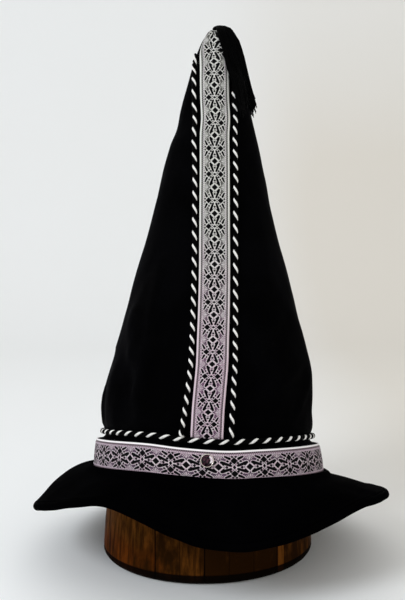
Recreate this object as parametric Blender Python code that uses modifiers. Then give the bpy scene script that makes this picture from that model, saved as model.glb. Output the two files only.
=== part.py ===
"""Tall velvet wizard hat sitting on a round wooden hat block.

The hat is a hollow cone with soft folds and a drooping brim. A patterned ribbon goes round its base and a
second one runs up its front between two twisted cords. A third cord hides where the two ribbons meet, a set
stone sits on the lower ribbon, and a thread tassel falls from the peak.

Metres, +Z up. The frame stands at the centre of the block's flat foot, and the hat's front faces -Y.
Shapes of the hat are worked out in its own upright frame, where an azimuth of zero is the front and
positive azimuths turn towards +X, and an empty then tilts the whole hat back on the block.
"""

import math

import bmesh
import bpy
from mathutils import Vector

# How the hat sits on its block
SEAT_SHIFT_X = -0.001
SEAT_HEIGHT = 0.082
TILT_BACK = math.radians(11.5)
LEAN_RIGHT = math.radians(1.2)

CLOTH = 0.0025
RIBBON = 0.0010
GAP = 0.0003
WELD = 0.00001

# Mesh columns round the hat, finer in front than behind
FRONT_STEP = 6
BACK_STEP = 14
FRONT_REACH = 96

# Crown sections from the lower edge to the peak
# height, half width, half depth, shift to +X, mesh rows up to the next section
CROWN_SECTIONS = (
    (-0.0125, 0.0985, 0.0970, 0.0015, 1),
    (0.0000, 0.0977, 0.0968, 0.0009, 1),
    (0.0118, 0.0954, 0.0952, 0.0002, 1),
    (0.0124, 0.0900, 0.0900, 0.0000, 1),
    (0.0162, 0.0886, 0.0886, 0.0000, 1),
    (0.0205, 0.0898, 0.0898, 0.0000, 1),
    (0.0260, 0.0918, 0.0918, -0.0005, 1),
    (0.0390, 0.0918, 0.0918, -0.0013, 2),
    (0.0570, 0.0908, 0.0908, -0.0003, 1),
    (0.0745, 0.0885, 0.0885, 0.0010, 1),
    (0.0920, 0.0846, 0.0846, 0.0014, 2),
    (0.1190, 0.0780, 0.0780, 0.0017, 1),
    (0.1550, 0.0688, 0.0688, 0.0015, 1),
    (0.1910, 0.0593, 0.0593, 0.0009, 1),
    (0.2280, 0.0508, 0.0508, 0.0005, 1),
    (0.2750, 0.0408, 0.0401, 0.0006, 1),
    (0.2930, 0.0356, 0.0346, 0.0018, 1),
    (0.3120, 0.0317, 0.0300, 0.0014, 1),
    (0.3360, 0.0260, 0.0230, 0.0016, 1),
    (0.3560, 0.0212, 0.0168, 0.0020, 1),
    (0.3700, 0.0170, 0.0124, 0.0024, 1),
    (0.3795, 0.0136, 0.0096, 0.0030, 1),
    (0.3840, 0.0108, 0.0074, 0.0032, 1),
    (0.3866, 0.0070, 0.0046, 0.0032, 1),
    (0.3878, 0.0000, 0.0000, 0.0032, 0),
)

# Folds of the crown: each is a ridge, or a groove where its rise is negative
# azimuth and height of its lower end, azimuth and height of its upper end, half width, rise
CROWN_FOLDS = (
    (-35, 0.022, -37, 0.172, 0.010, 0.0042),
    (-25, 0.030, -29, 0.135, 0.010, -0.0026),
    (-40, 0.062, -60, 0.128, 0.010, 0.0032),
    (-47, 0.022, -49, 0.082, 0.009, -0.0030),
    (-60, 0.021, -64, 0.080, 0.008, 0.0022),
    (-72, 0.021, -84, 0.092, 0.009, -0.0024),
    (17, 0.036, 62, 0.086, 0.010, 0.0024),
    (26, 0.070, 56, 0.122, 0.010, -0.0022),
    (72, 0.024, 66, 0.130, 0.012, 0.0024),
    (118, 0.022, 104, 0.150, 0.014, 0.0034),
    (-122, 0.022, -112, 0.160, 0.014, 0.0032),
    (168, 0.022, 150, 0.118, 0.014, 0.0036),
    (-166, 0.060, -140, 0.124, 0.014, -0.0034),
)
# How bluntly a fold ends: its rise follows a half sine to this power
FOLD_ENDS = 0.7
# Small pleats gathered into the peak
GATHERS = 9
GATHER_RISE = 0.0007
GATHER_START = 0.330
GATHER_FADE = 0.030
GATHER_FULL_RADIUS = 0.010
# Steps up and round the crown that its slope is measured over
SLOPE_STEP = 0.002
SLOPE_TURN = 2
WALK_HALVINGS = 30

# How far the base of the crown, with its trims, dips below a level ring
# azimuth, rise
BASE_WAVE = (
    (-180, 0.0000),
    (-90, 0.0010),
    (-55, 0.0009),
    (-30, 0.0006),
    (-12, -0.0024),
    (8, -0.0050),
    (24, -0.0032),
    (45, -0.0012),
    (70, 0.0004),
    (110, 0.0004),
)
WAVE_FADE_START = 0.022
WAVE_FADE_END = 0.075

# Brim, measured along its middle surface from its root to the outside of its rolled edge
# azimuth, mean slope below level in degrees, how much the slope grows either side of the mean, width
BRIM_SECTIONS = (
    (-180, 18.0, 7.0, 0.0575),
    (-140, 17.5, 10.0, 0.0575),
    (-112, 22.5, 19.0, 0.0575),
    (-90, 32.5, 22.0, 0.0575),
    (-60, 28.5, 13.0, 0.0575),
    (-43, 20.5, 9.0, 0.0575),
    (-30, 15.5, 8.0, 0.0575),
    (-21, 21.5, 8.0, 0.0575),
    (-11, 34.0, 12.0, 0.0575),
    (-2, 42.5, 15.0, 0.0575),
    (13, 44.5, 16.0, 0.0575),
    (24, 38.5, 14.0, 0.0575),
    (36, 26.5, 10.0, 0.0565),
    (47, 17.0, 7.0, 0.0560),
    (62, 14.5, 4.0, 0.0555),
    (90, 15.5, 2.0, 0.0550),
    (130, 16.0, 6.0, 0.0575),
)
BRIM_CLOTH = 0.0030
BRIM_ROLL = 0.0032
BRIM_ROOT_RADIUS = 0.0998
BRIM_ROOT_HEIGHT = -0.0143
# How far the brim's root flares to +X with the crown's lower edge
BRIM_FLARE = 0.0015
BRIM_STATIONS = (0.06, 0.28, 0.50, 0.70, 0.88)
BRIM_MARCH = 24
# The rolled edge goes from the underside to the top, in degrees from the cloth's upward side
ROLL_START = -240
ROLL_SWEEP = 300
ROLL_POINTS = 5
LIP_RADIUS = 0.0948
# Collar that stands up round the ribbon: distance out from its inner face, height above the shelf
COLLAR = (
    (0.0035, 0.00165),
    (0.0014, 0.00300),
    (0.0000, 0.00210),
    (0.0000, 0.00000),
)

# Ribbons; the band ribbon covers the crown's lowest sections
BAND_SECTIONS = 3
RIBBON_WIDTH = 0.025
FRONT_RIBBON_GAP = 0.0008
FRONT_RIBBON_COLUMNS = 6
# Centre line of the front ribbon: height, azimuth, share of the full width
FRONT_RIBBON_LINE = (
    (0.0200, -0.6, 1.0),
    (0.0400, 0.5, 1.0),
    (0.1000, 0.6, 1.0),
    (0.2150, 1.2, 1.0),
    (0.2620, 0.7, 1.0),
    (0.3100, -2.0, 1.0),
    (0.3510, -6.5, 1.05),
    (0.3690, -11.0, 1.06),
    (0.3790, -15.0, 0.95),
    (0.3850, -19.0, 0.72),
)

# Cords
BASE_CORD_RADIUS = 0.0030
BASE_CORD_HEIGHT = 0.0162
SIDE_CORD_RADIUS = 0.0029
SIDE_CORD_GAP = 0.0012
SIDE_CORD_FOOT = 0.0214
CORD_BEVEL = 2
CORD_SPACING = 0.0125
# Distance along the cloth from the front ribbon's centre line, and height of the upper end
LEFT_CORD = (-0.0160, 0.3610)
RIGHT_CORD = (0.0170, 0.3260)

# Stone and its setting
STONE_AZIMUTH = -0.7
STONE_RISE = 0.0056
SETTING_RADIUS = 0.0053
SETTING_DEPTH = 0.0034
SETTING_WALL = 0.0006
SETTING_FLOOR = 0.0008
SETTING_STEPS = 20
# Rim of the setting from inside to outside: share of the wall's thickness, distance below the top
SETTING_RIM = (
    (0.0, 0.0004),
    (0.3, 0.0000),
    (0.8, 0.0003),
    (1.0, 0.0010),
)
STONE_FACETS = 8
STONE_RADIUS = 0.0043
# Rings of the cut stone: share of its radius, height above its base, turn in half facets, points per facet
STONE_RINGS = (
    (0.70, 0.0000, 0, 1),
    (1.00, 0.0011, 0, 2),
    (1.00, 0.0014, 0, 2),
    (0.82, 0.0023, 1, 1),
    (0.55, 0.0029, 0, 1),
)

# Tassel
LOCKS = 10
LOCK_BEVEL = 1
LOCK_RADIUS = 0.0024
LOCK_HEAD_AZIMUTHS = (22, 140)
LOCK_TIP_AZIMUTHS = (29, 112)
# Along a lock: share of the way from the azimuth at the head to that at the tip, height, share of its radius
LOCK_LINE = (
    (0.00, 0.3848, 0.90),
    (0.20, 0.3790, 1.00),
    (0.55, 0.3670, 1.00),
    (0.85, 0.3520, 1.03),
    (0.96, 0.3390, 1.05),
    (1.00, 0.3280, 1.00),
    (1.00, 0.3185, 0.75),
    (1.00, 0.3130, 0.28),
)
LOCK_LENGTHS = (-0.0090, -0.0050, -0.0080, -0.0020, -0.0045, 0.0005, -0.0020, 0.0025, -0.0025, 0.0010)
# How far a lock's centre line stands out from the crown, more over the front ribbon: azimuth, distance
LOCK_RISE = (
    (36, 0.0045),
    (58, 0.0029),
    (140, 0.0029),
)
LOCK_OVER_CORD = 0.0060
LOCK_CORD_REACH = 14
LOCK_CORD_FADE = 0.016
TASSEL_HEAD_RADIUS = 0.0056
TASSEL_HEAD_HEIGHT = 0.3910
TASSEL_HEAD_SHIFT = 0.0060
TASSEL_HEAD_SQUASH = 0.48
TASSEL_HEAD_STEPS = 12
TASSEL_HEAD_RINGS = 8

# Hat block, from the middle of its top down to the middle of its foot: radius, height
BLOCK_PROFILE = (
    (0.0000, 0.1500),
    (0.0400, 0.1475),
    (0.0630, 0.1390),
    (0.0768, 0.1255),
    (0.0827, 0.1110),
    (0.0872, 0.0560),
    (0.0896, 0.0310),
    (0.0911, 0.0125),
    (0.0900, 0.0113),
    (0.0912, 0.0100),
    (0.0912, 0.0070),
    (0.0900, 0.0032),
    (0.0876, 0.0008),
    (0.0848, 0.0000),
    (0.0000, 0.0000),
)
BLOCK_STEPS = 36
# The block is oval: its stretch along its long axis and across it, and the azimuth of the long axis
BLOCK_LONG = 1.008
BLOCK_SHORT = 0.943
BLOCK_TURN = -66

# Colours, linear red, green and blue, with roughness and metallic value
FINISHES = {
    "crown": ((0.006, 0.006, 0.009), 0.85, 0.0),
    "brim": ((0.006, 0.006, 0.009), 0.85, 0.0),
    "band_ribbon": ((0.50, 0.48, 0.55), 0.50, 0.0),
    "front_ribbon": ((0.55, 0.56, 0.57), 0.50, 0.0),
    "left_cord": ((0.25, 0.25, 0.26), 0.60, 0.0),
    "right_cord": ((0.25, 0.25, 0.26), 0.60, 0.0),
    "base_cord": ((0.25, 0.25, 0.26), 0.60, 0.0),
    "stone_setting": ((0.70, 0.68, 0.66), 0.25, 1.0),
    "stone": ((0.75, 0.72, 0.80), 0.05, 0.0),
    "tassel": ((0.010, 0.010, 0.012), 0.70, 0.0),
    "hat_block": ((0.50, 0.24, 0.09), 0.55, 0.0),
}


def smooth_value(rows, key, column, period=None):
    """One column of a table at a key in its first column, on a smooth curve through the rows."""
    if period:
        before = tuple([rows[-1][0] - period, *rows[-1][1:]])
        after = [tuple([row[0] + period, *row[1:]]) for row in rows[:2]]
        rows = [before, *rows, *after]
        while key < rows[1][0]:
            key += period
        while key >= rows[1][0] + period:
            key -= period
    key = min(max(key, rows[0][0]), rows[-1][0])
    index = 0
    while index < len(rows) - 2 and key > rows[index + 1][0]:
        index += 1

    def slope(at):
        low = max(at - 1, 0)
        high = min(at + 1, len(rows) - 1)
        return (rows[high][column] - rows[low][column]) / (rows[high][0] - rows[low][0])

    start = rows[index]
    end = rows[index + 1]
    span = end[0] - start[0]
    t = (key - start[0]) / span
    return (
        (2 * t**3 - 3 * t**2 + 1) * start[column]
        + (t**3 - 2 * t**2 + t) * span * slope(index)
        + (3 * t**2 - 2 * t**3) * end[column]
        + (t**3 - t**2) * span * slope(index + 1)
    )


def ease(value, low, high):
    """Zero below low, one above high, and a smooth step between."""
    t = min(max((value - low) / (high - low), 0.0), 1.0)
    return t * t * (3 - 2 * t)


def crown_rows():
    """The crown's sections keyed by the length walked along its side from the lower edge."""
    rows = []
    walked = 0.0
    for index, section in enumerate(CROWN_SECTIONS):
        if index:
            last = CROWN_SECTIONS[index - 1]
            walked += math.hypot(section[0] - last[0], section[1] - last[1])
        rows.append((walked, *section))
    return rows


CROWN_ROWS = crown_rows()
CROWN_LENGTH = CROWN_ROWS[-1][0]


def walk_to(height):
    """The length walked up the crown's side to reach a height."""
    low = 0.0
    high = CROWN_LENGTH
    for _ in range(WALK_HALVINGS):
        middle = (low + high) / 2
        if smooth_value(CROWN_ROWS, middle, 1) < height:
            low = middle
        else:
            high = middle
    return low


def base_wave(azimuth, height):
    """How far a point of the base is lifted, fading out up the crown."""
    fade = 1 - ease(height, WAVE_FADE_START, WAVE_FADE_END)
    return smooth_value(BASE_WAVE, azimuth, 1, 360) * fade


def fold_rise(azimuth, height, radius):
    """How far the folds and the gathers at the peak push the cloth out."""
    rise = 0.0
    for low_azimuth, low_height, high_azimuth, high_height, half_width, depth in CROWN_FOLDS:
        share = (height - low_height) / (high_height - low_height)
        if not 0 < share < 1:
            continue
        centre = low_azimuth + (high_azimuth - low_azimuth) * share
        off = (azimuth - centre + 180) % 360 - 180
        across = math.radians(off) * radius / half_width
        rise += depth * math.exp(-across * across) * math.sin(math.pi * share) ** FOLD_ENDS
    strength = ease(height, GATHER_START, GATHER_START + GATHER_FADE)
    strength *= min(1, radius / GATHER_FULL_RADIUS)
    return rise + strength * GATHER_RISE * math.cos(math.radians(azimuth) * GATHERS)


def crown_surface(azimuth, walked):
    """A point of the crown's outer surface, in the hat's frame."""
    height = smooth_value(CROWN_ROWS, walked, 1)
    half_width = max(smooth_value(CROWN_ROWS, walked, 2), 0.0)
    half_depth = max(smooth_value(CROWN_ROWS, walked, 3), 0.0)
    shift = smooth_value(CROWN_ROWS, walked, 4)
    out = fold_rise(azimuth, height, half_width)
    angle = math.radians(azimuth)
    return Vector((
        shift + (half_width + out) * math.sin(angle),
        -(half_depth + out) * math.cos(angle),
        height + base_wave(azimuth, height),
    ))


def crown_point(azimuth, walked, out=0.0):
    """A point that stands a distance out from the crown's surface."""
    point = crown_surface(azimuth, walked)
    if not out:
        return point
    low = min(max(walked, SLOPE_STEP), CROWN_LENGTH - 2 * SLOPE_STEP)
    along = crown_surface(azimuth, low + SLOPE_STEP) - crown_surface(azimuth, low - SLOPE_STEP)
    across = crown_surface(azimuth + SLOPE_TURN, low) - crown_surface(azimuth - SLOPE_TURN, low)
    return point + across.cross(along).normalized() * out


def column_azimuths():
    """Azimuths of the mesh columns once round the hat, from the back through the front to the back."""
    azimuths = list(range(-180, -FRONT_REACH, BACK_STEP))
    azimuths += range(-FRONT_REACH, FRONT_REACH, FRONT_STEP)
    azimuths += range(FRONT_REACH, 180 + 1, BACK_STEP)
    return azimuths


def new_object(name, mesh):
    obj = bpy.data.objects.new(name, mesh)
    PARTS.objects.link(obj)
    return obj


def sheet(name, columns, rows, place):
    """A grid wrapped onto place(column, row), joined where its edges meet."""
    bm = bmesh.new()
    bmesh.ops.create_grid(bm, x_segments=columns, y_segments=rows, size=1.0)
    for vert in bm.verts:
        column = round((vert.co.x + 1) / 2 * columns)
        row = round((vert.co.y + 1) / 2 * rows)
        vert.co = place(column, row)
    bmesh.ops.remove_doubles(bm, verts=bm.verts, dist=WELD)
    mesh = bpy.data.meshes.new(name)
    bm.to_mesh(mesh)
    bm.free()
    return new_object(name, mesh)


def thicken(obj, thickness, side):
    """Walls of a sheet, inwards where side is -1 and outwards where it is 1."""
    solidify = obj.modifiers.new("walls", "SOLIDIFY")
    solidify.thickness = thickness
    solidify.offset = side
    solidify.use_even_offset = True
    solidify.use_quality_normals = True


def tube(name, points, radii, bevel, closed=False):
    """A round cord, or a lock of thread, through a list of points."""
    curve = bpy.data.curves.new(name, "CURVE")
    curve.dimensions = "3D"
    curve.bevel_depth = radii[0] if closed else 1.0
    curve.bevel_resolution = bevel
    curve.use_fill_caps = not closed
    spline = curve.splines.new("POLY")
    spline.points.add(len(points) - 1)
    for spot, point, radius in zip(spline.points, points, radii):
        spot.co = (*point, 1.0)
        spot.radius = 1.0 if closed else radius
    spline.use_cyclic_u = closed
    return new_object(name, curve)


def crown_walks():
    """Lengths walked up the crown's side to each row of its mesh."""
    walks = []
    for row, above in zip(CROWN_ROWS, CROWN_ROWS[1:]):
        steps = row[5]
        walks += [row[0] + (above[0] - row[0]) * step / steps for step in range(steps)]
    return [*walks, CROWN_LENGTH]


def make_crown():
    azimuths = column_azimuths()
    walks = crown_walks()

    def place(column, row):
        return crown_point(azimuths[column], walks[row])

    crown = sheet("crown", len(azimuths) - 1, len(walks) - 1, place)
    thicken(crown, CLOTH, -1)
    return crown


def brim_section(azimuth):
    """The brim's closed outline at an azimuth, as radius and height, out along its underside and back on top."""
    mean = math.radians(smooth_value(BRIM_SECTIONS, azimuth, 1, 360))
    curl = math.radians(smooth_value(BRIM_SECTIONS, azimuth, 2, 360))
    width = smooth_value(BRIM_SECTIONS, azimuth, 3, 360)
    radius = BRIM_ROOT_RADIUS
    height = BRIM_ROOT_HEIGHT
    march = []
    length = width - BRIM_ROLL
    for step in range(BRIM_MARCH + 1):
        share = step / BRIM_MARCH
        slope = mean + curl * (2 * share - 1)
        march.append((share, radius, height, slope))
        radius += math.cos(slope) * length / BRIM_MARCH
        height -= math.sin(slope) * length / BRIM_MARCH

    def offset(share, out, turn=0.0):
        spot_radius = smooth_value(march, share, 1)
        spot_height = smooth_value(march, share, 2)
        angle = math.pi / 2 - smooth_value(march, share, 3) + turn
        return spot_radius + math.cos(angle) * out, spot_height + math.sin(angle) * out

    half = BRIM_CLOTH / 2
    shelf = CROWN_SECTIONS[0][0] - GAP
    ribbon_out = CROWN_SECTIONS[0][2] + RIBBON + 3 * GAP
    outline = [(LIP_RADIUS, shelf - BRIM_CLOTH)]
    outline += [offset(share, -half) for share in BRIM_STATIONS]
    for point in range(ROLL_POINTS + 1):
        turn = math.radians(ROLL_START + ROLL_SWEEP * point / ROLL_POINTS)
        outline.append(offset(1.0, BRIM_ROLL, turn))
    outline += [offset(share, half) for share in reversed(BRIM_STATIONS[1:])]
    outline += [(ribbon_out + out, shelf + rise) for out, rise in COLLAR]
    outline.append((LIP_RADIUS, shelf))
    outline.append(outline[0])
    return outline


def make_brim():
    azimuths = column_azimuths()
    outlines = [brim_section(azimuth) for azimuth in azimuths]

    def place(column, row):
        azimuth = azimuths[column]
        radius, height = outlines[column][row]
        angle = math.radians(azimuth)
        lift = smooth_value(BASE_WAVE, azimuth, 1, 360)
        across = radius * math.sin(angle) + BRIM_FLARE * (1 + math.sin(angle))
        return Vector((across, -radius * math.cos(angle), height + lift))

    return sheet("brim", len(azimuths) - 1, len(outlines[0]) - 1, place)


def make_band_ribbon():
    azimuths = column_azimuths()
    walks = [row[0] for row in CROWN_ROWS[:BAND_SECTIONS]]

    def place(column, row):
        return crown_point(azimuths[column], walks[row], GAP)

    band = sheet("band_ribbon", len(azimuths) - 1, len(walks) - 1, place)
    thicken(band, RIBBON, 1)
    return band


def beside_ribbon(height, reach):
    """The azimuth at a height that lies a distance along the cloth from the front ribbon's centre line."""
    half_width = smooth_value(CROWN_ROWS, walk_to(height), 2)
    return smooth_value(FRONT_RIBBON_LINE, height, 1) + math.degrees(reach / half_width)


def make_front_ribbon():
    foot = walk_to(FRONT_RIBBON_LINE[0][0])
    top = walk_to(FRONT_RIBBON_LINE[-1][0])
    walks = [foot, *[walked for walked in crown_walks() if foot < walked < top], top]

    def place(column, row):
        height = smooth_value(CROWN_ROWS, walks[row], 1)
        share = smooth_value(FRONT_RIBBON_LINE, height, 2)
        reach = RIBBON_WIDTH * share * (column / FRONT_RIBBON_COLUMNS - 0.5)
        return crown_point(beside_ribbon(height, reach), walks[row], FRONT_RIBBON_GAP)

    ribbon = sheet("front_ribbon", FRONT_RIBBON_COLUMNS, len(walks) - 1, place)
    thicken(ribbon, RIBBON, 1)
    return ribbon


def make_side_cord(name, reach, top):
    points = []
    count = round((top - SIDE_CORD_FOOT) / CORD_SPACING)
    for index in range(count + 1):
        height = SIDE_CORD_FOOT + (top - SIDE_CORD_FOOT) * index / count
        azimuth = beside_ribbon(height, reach)
        points.append(crown_point(azimuth, walk_to(height), SIDE_CORD_RADIUS + SIDE_CORD_GAP))
    return tube(name, points, [SIDE_CORD_RADIUS] * len(points), CORD_BEVEL)


def make_base_cord():
    walked = walk_to(BASE_CORD_HEIGHT)
    points = []
    for azimuth in column_azimuths()[:-1]:
        spot = crown_surface(azimuth, walked)
        outwards = Vector((spot.x, spot.y, 0.0)).normalized()
        points.append(spot + outwards * (BASE_CORD_RADIUS + GAP))
    return tube("base_cord", points, [BASE_CORD_RADIUS] * len(points), CORD_BEVEL, closed=True)


def turned(name, profile, steps):
    """A profile of radius and height, down its outer side, turned about the upright axis."""
    mesh = bpy.data.meshes.new(name)
    bm = bmesh.new()
    verts = [bm.verts.new((radius, 0.0, height)) for radius, height in profile]
    for first, second in zip(verts, verts[1:]):
        bm.edges.new((first, second))
    bm.to_mesh(mesh)
    bm.free()
    obj = new_object(name, mesh)
    screw = obj.modifiers.new("turn", "SCREW")
    screw.steps = steps
    screw.render_steps = steps
    screw.use_merge_vertices = True
    screw.merge_threshold = WELD
    return obj


def stone_seat():
    """Where the setting's back lies on the band ribbon, and the way it faces, in the hat's frame."""
    walked = walk_to(STONE_RISE)
    face = crown_point(STONE_AZIMUTH, walked, GAP + RIBBON)
    outwards = (face - crown_point(STONE_AZIMUTH, walked)).normalized()
    sagitta = SETTING_RADIUS**2 / (2 * CROWN_SECTIONS[1][1])
    return face + outwards * (GAP + sagitta), outwards.to_track_quat("Z", "Y").to_euler()


def make_setting():
    inner = SETTING_RADIUS - SETTING_WALL
    rim = [(inner + SETTING_WALL * share, SETTING_DEPTH - below) for share, below in SETTING_RIM]
    profile = [(0.0, SETTING_FLOOR), (inner, SETTING_FLOOR), *rim, (SETTING_RADIUS, 0.0), (0.0, 0.0)]
    setting = turned("stone_setting", profile, SETTING_STEPS)
    setting.location, setting.rotation_euler = stone_seat()
    return setting


def make_stone():
    """A round cut stone: a flat table, two rows of sloping facets, a girdle and a shallow back."""
    bm = bmesh.new()
    for share, height, turn, per_facet in STONE_RINGS:
        count = STONE_FACETS * per_facet
        for index in range(count):
            angle = math.tau * index / count + math.pi * turn / STONE_FACETS
            bm.verts.new((
                STONE_RADIUS * share * math.cos(angle),
                STONE_RADIUS * share * math.sin(angle),
                height,
            ))
    bmesh.ops.convex_hull(bm, input=bm.verts)
    mesh = bpy.data.meshes.new("stone")
    bm.to_mesh(mesh)
    bm.free()
    stone = new_object("stone", mesh)
    location, rotation = stone_seat()
    lifted = Vector((0.0, 0.0, SETTING_FLOOR + GAP))
    lifted.rotate(rotation)
    stone.location = location + lifted
    stone.rotation_euler = rotation
    return stone


def lock_points(index):
    """The centre line of one lock of the tassel, which passes over the right cord."""
    share = index / (LOCKS - 1)
    head = LOCK_HEAD_AZIMUTHS[0] + (LOCK_HEAD_AZIMUTHS[1] - LOCK_HEAD_AZIMUTHS[0]) * share
    tip = LOCK_TIP_AZIMUTHS[0] + (LOCK_TIP_AZIMUTHS[1] - LOCK_TIP_AZIMUTHS[0]) * share
    top = LOCK_LINE[0][1]
    cord_reach, cord_top = RIGHT_CORD
    points = []
    for turned_share, height, _ in LOCK_LINE:
        azimuth = head + (tip - head) * turned_share
        height += LOCK_LENGTHS[index] * (top - height) / (top - LOCK_LINE[-1][1])
        off = (azimuth - beside_ribbon(height, cord_reach)) / LOCK_CORD_REACH
        over = math.exp(-off * off) * (1 - ease(height, cord_top, cord_top + LOCK_CORD_FADE))
        out = smooth_value(LOCK_RISE, azimuth, 1) + LOCK_OVER_CORD * over
        points.append(crown_point(azimuth, walk_to(height), out))
    return points


def as_mesh(obj):
    """The curve as a closed mesh of the same name, so that it can be joined to others."""
    graph = bpy.context.evaluated_depsgraph_get()
    mesh = bpy.data.meshes.new_from_object(obj.evaluated_get(graph))
    bm = bmesh.new()
    bm.from_mesh(mesh)
    bmesh.ops.remove_doubles(bm, verts=bm.verts, dist=WELD)
    bm.to_mesh(mesh)
    bm.free()
    name = obj.name
    matrix = obj.matrix_world.copy()
    bpy.data.objects.remove(obj)
    made = new_object(name, mesh)
    made.matrix_world = matrix
    return made


def make_tassel():
    """Tapered locks that overlap each other, joined to a round head at the peak."""
    bm = bmesh.new()
    bmesh.ops.create_uvsphere(
        bm, u_segments=TASSEL_HEAD_STEPS, v_segments=TASSEL_HEAD_RINGS, radius=TASSEL_HEAD_RADIUS)
    for vert in bm.verts:
        vert.co.z = vert.co.z * TASSEL_HEAD_SQUASH + TASSEL_HEAD_HEIGHT
        vert.co.x += TASSEL_HEAD_SHIFT
    mesh = bpy.data.meshes.new("tassel")
    bm.to_mesh(mesh)
    bm.free()
    tassel = new_object("tassel", mesh)
    radii = [LOCK_RADIUS * row[2] for row in LOCK_LINE]
    for index in range(LOCKS):
        start = Vector((TASSEL_HEAD_SHIFT, 0.0, TASSEL_HEAD_HEIGHT))
        points = [start, *lock_points(index)]
        lock = as_mesh(tube(f"lock_{index + 1}", points, [radii[0], *radii], LOCK_BEVEL))
        PARTS.objects.unlink(lock)
        GUIDES.objects.link(lock)
        lock.hide_render = True
        lock.display_type = "WIRE"
        join = tassel.modifiers.new(lock.name, "BOOLEAN")
        join.operation = "UNION"
        join.object = lock
    return tassel


def finish(obj):
    """Gives the object a material of its own and shades round pieces smooth."""
    colour, roughness, metallic = FINISHES[obj.name]
    material = bpy.data.materials.new(obj.name)
    material.use_nodes = True
    shader = material.node_tree.nodes["Principled BSDF"]
    shader.inputs["Base Color"].default_value = (*colour, 1.0)
    shader.inputs["Roughness"].default_value = roughness
    shader.inputs["Metallic"].default_value = metallic
    obj.data.materials.append(material)
    if obj.type == "MESH" and obj.name != "stone":
        obj.data.shade_smooth()


def main():
    seat = bpy.data.objects.new("hat_seat", None)
    PARTS.objects.link(seat)
    seat.location = (SEAT_SHIFT_X, 0.0, SEAT_HEIGHT)
    seat.rotation_mode = "YXZ"
    seat.rotation_euler = (-TILT_BACK, LEAN_RIGHT, 0.0)
    worn = [
        make_crown(),
        make_brim(),
        make_band_ribbon(),
        make_front_ribbon(),
        make_side_cord("left_cord", *LEFT_CORD),
        make_side_cord("right_cord", *RIGHT_CORD),
        make_base_cord(),
        make_setting(),
        make_stone(),
        make_tassel(),
    ]
    for obj in [*worn, *GUIDES.objects]:
        obj.parent = seat
    block = turned("hat_block", BLOCK_PROFILE, BLOCK_STEPS)
    block.scale = (BLOCK_SHORT, BLOCK_LONG, 1.0)
    block.rotation_euler.z = math.radians(BLOCK_TURN)
    for obj in [*worn, block]:
        finish(obj)


for old in list(bpy.data.objects):
    bpy.data.objects.remove(old)
PARTS = bpy.data.collections.new("wizard_hat")
GUIDES = bpy.data.collections.new("guides")
bpy.context.scene.collection.children.link(PARTS)
bpy.context.scene.collection.children.link(GUIDES)
main()
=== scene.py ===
"""Looks of a tall velvet wizard hat on a round wooden hat block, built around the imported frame.

There is one operator each for the velvet crown, the brim, the woven ribbons, the twisted cords, the set stone, the
thread tassel, the laminated block and the studio. Shapes of the hat are worked out in its own upright frame and
then tilted back onto the block, so each finished piece holds its place in its mesh.

Lengths are in metres. Heights are in the hat's frame, and the block's are in the part's. Azimuths go round the hat
in degrees, from its front towards +X.
"""

import math
import random

import bmesh
import bpy
from mathutils import Euler, Matrix, Vector, noise


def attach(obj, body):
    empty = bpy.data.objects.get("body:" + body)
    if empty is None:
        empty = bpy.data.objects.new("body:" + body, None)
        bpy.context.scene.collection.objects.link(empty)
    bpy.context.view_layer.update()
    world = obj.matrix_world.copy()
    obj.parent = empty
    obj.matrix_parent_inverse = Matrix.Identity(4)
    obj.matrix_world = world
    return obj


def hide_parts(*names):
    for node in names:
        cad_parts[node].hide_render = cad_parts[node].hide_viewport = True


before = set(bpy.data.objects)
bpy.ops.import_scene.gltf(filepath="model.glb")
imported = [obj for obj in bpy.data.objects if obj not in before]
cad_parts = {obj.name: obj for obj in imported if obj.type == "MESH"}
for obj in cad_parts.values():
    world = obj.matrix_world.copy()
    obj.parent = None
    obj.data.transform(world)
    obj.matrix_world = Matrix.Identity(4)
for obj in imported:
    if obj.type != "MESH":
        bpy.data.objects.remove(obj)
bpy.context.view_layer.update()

bl_info = {
    "name": "Wizard hat on a block",
    "version": (1, 0, 0),
    "blender": (4, 5, 0),
    "location": "View3D > Sidebar > Wizard hat",
    "description": "Builds a velvet wizard hat with ribbons, cords and a tassel on a wooden block",
    "category": "Add Mesh",
}

BODY = "root"
MM = 0.001

# How the hat sits on its block
SEAT = Matrix.Translation((-0.001, 0.0, 0.082)) @ Euler(
    (math.radians(-11.5), math.radians(1.2), 0.0), "YXZ").to_matrix().to_4x4()

# Velvet, ribbon and stitches, the gap between pieces, and how near the points are that are joined
CLOTH = 0.0025
RIBBON_WIDTH = 0.025
RIBBON_THICKNESS = 0.0010
STITCH_PITCH = 0.0018
GAP = 0.0003
WELD = 0.00001
UV_NAME = "weave"

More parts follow.
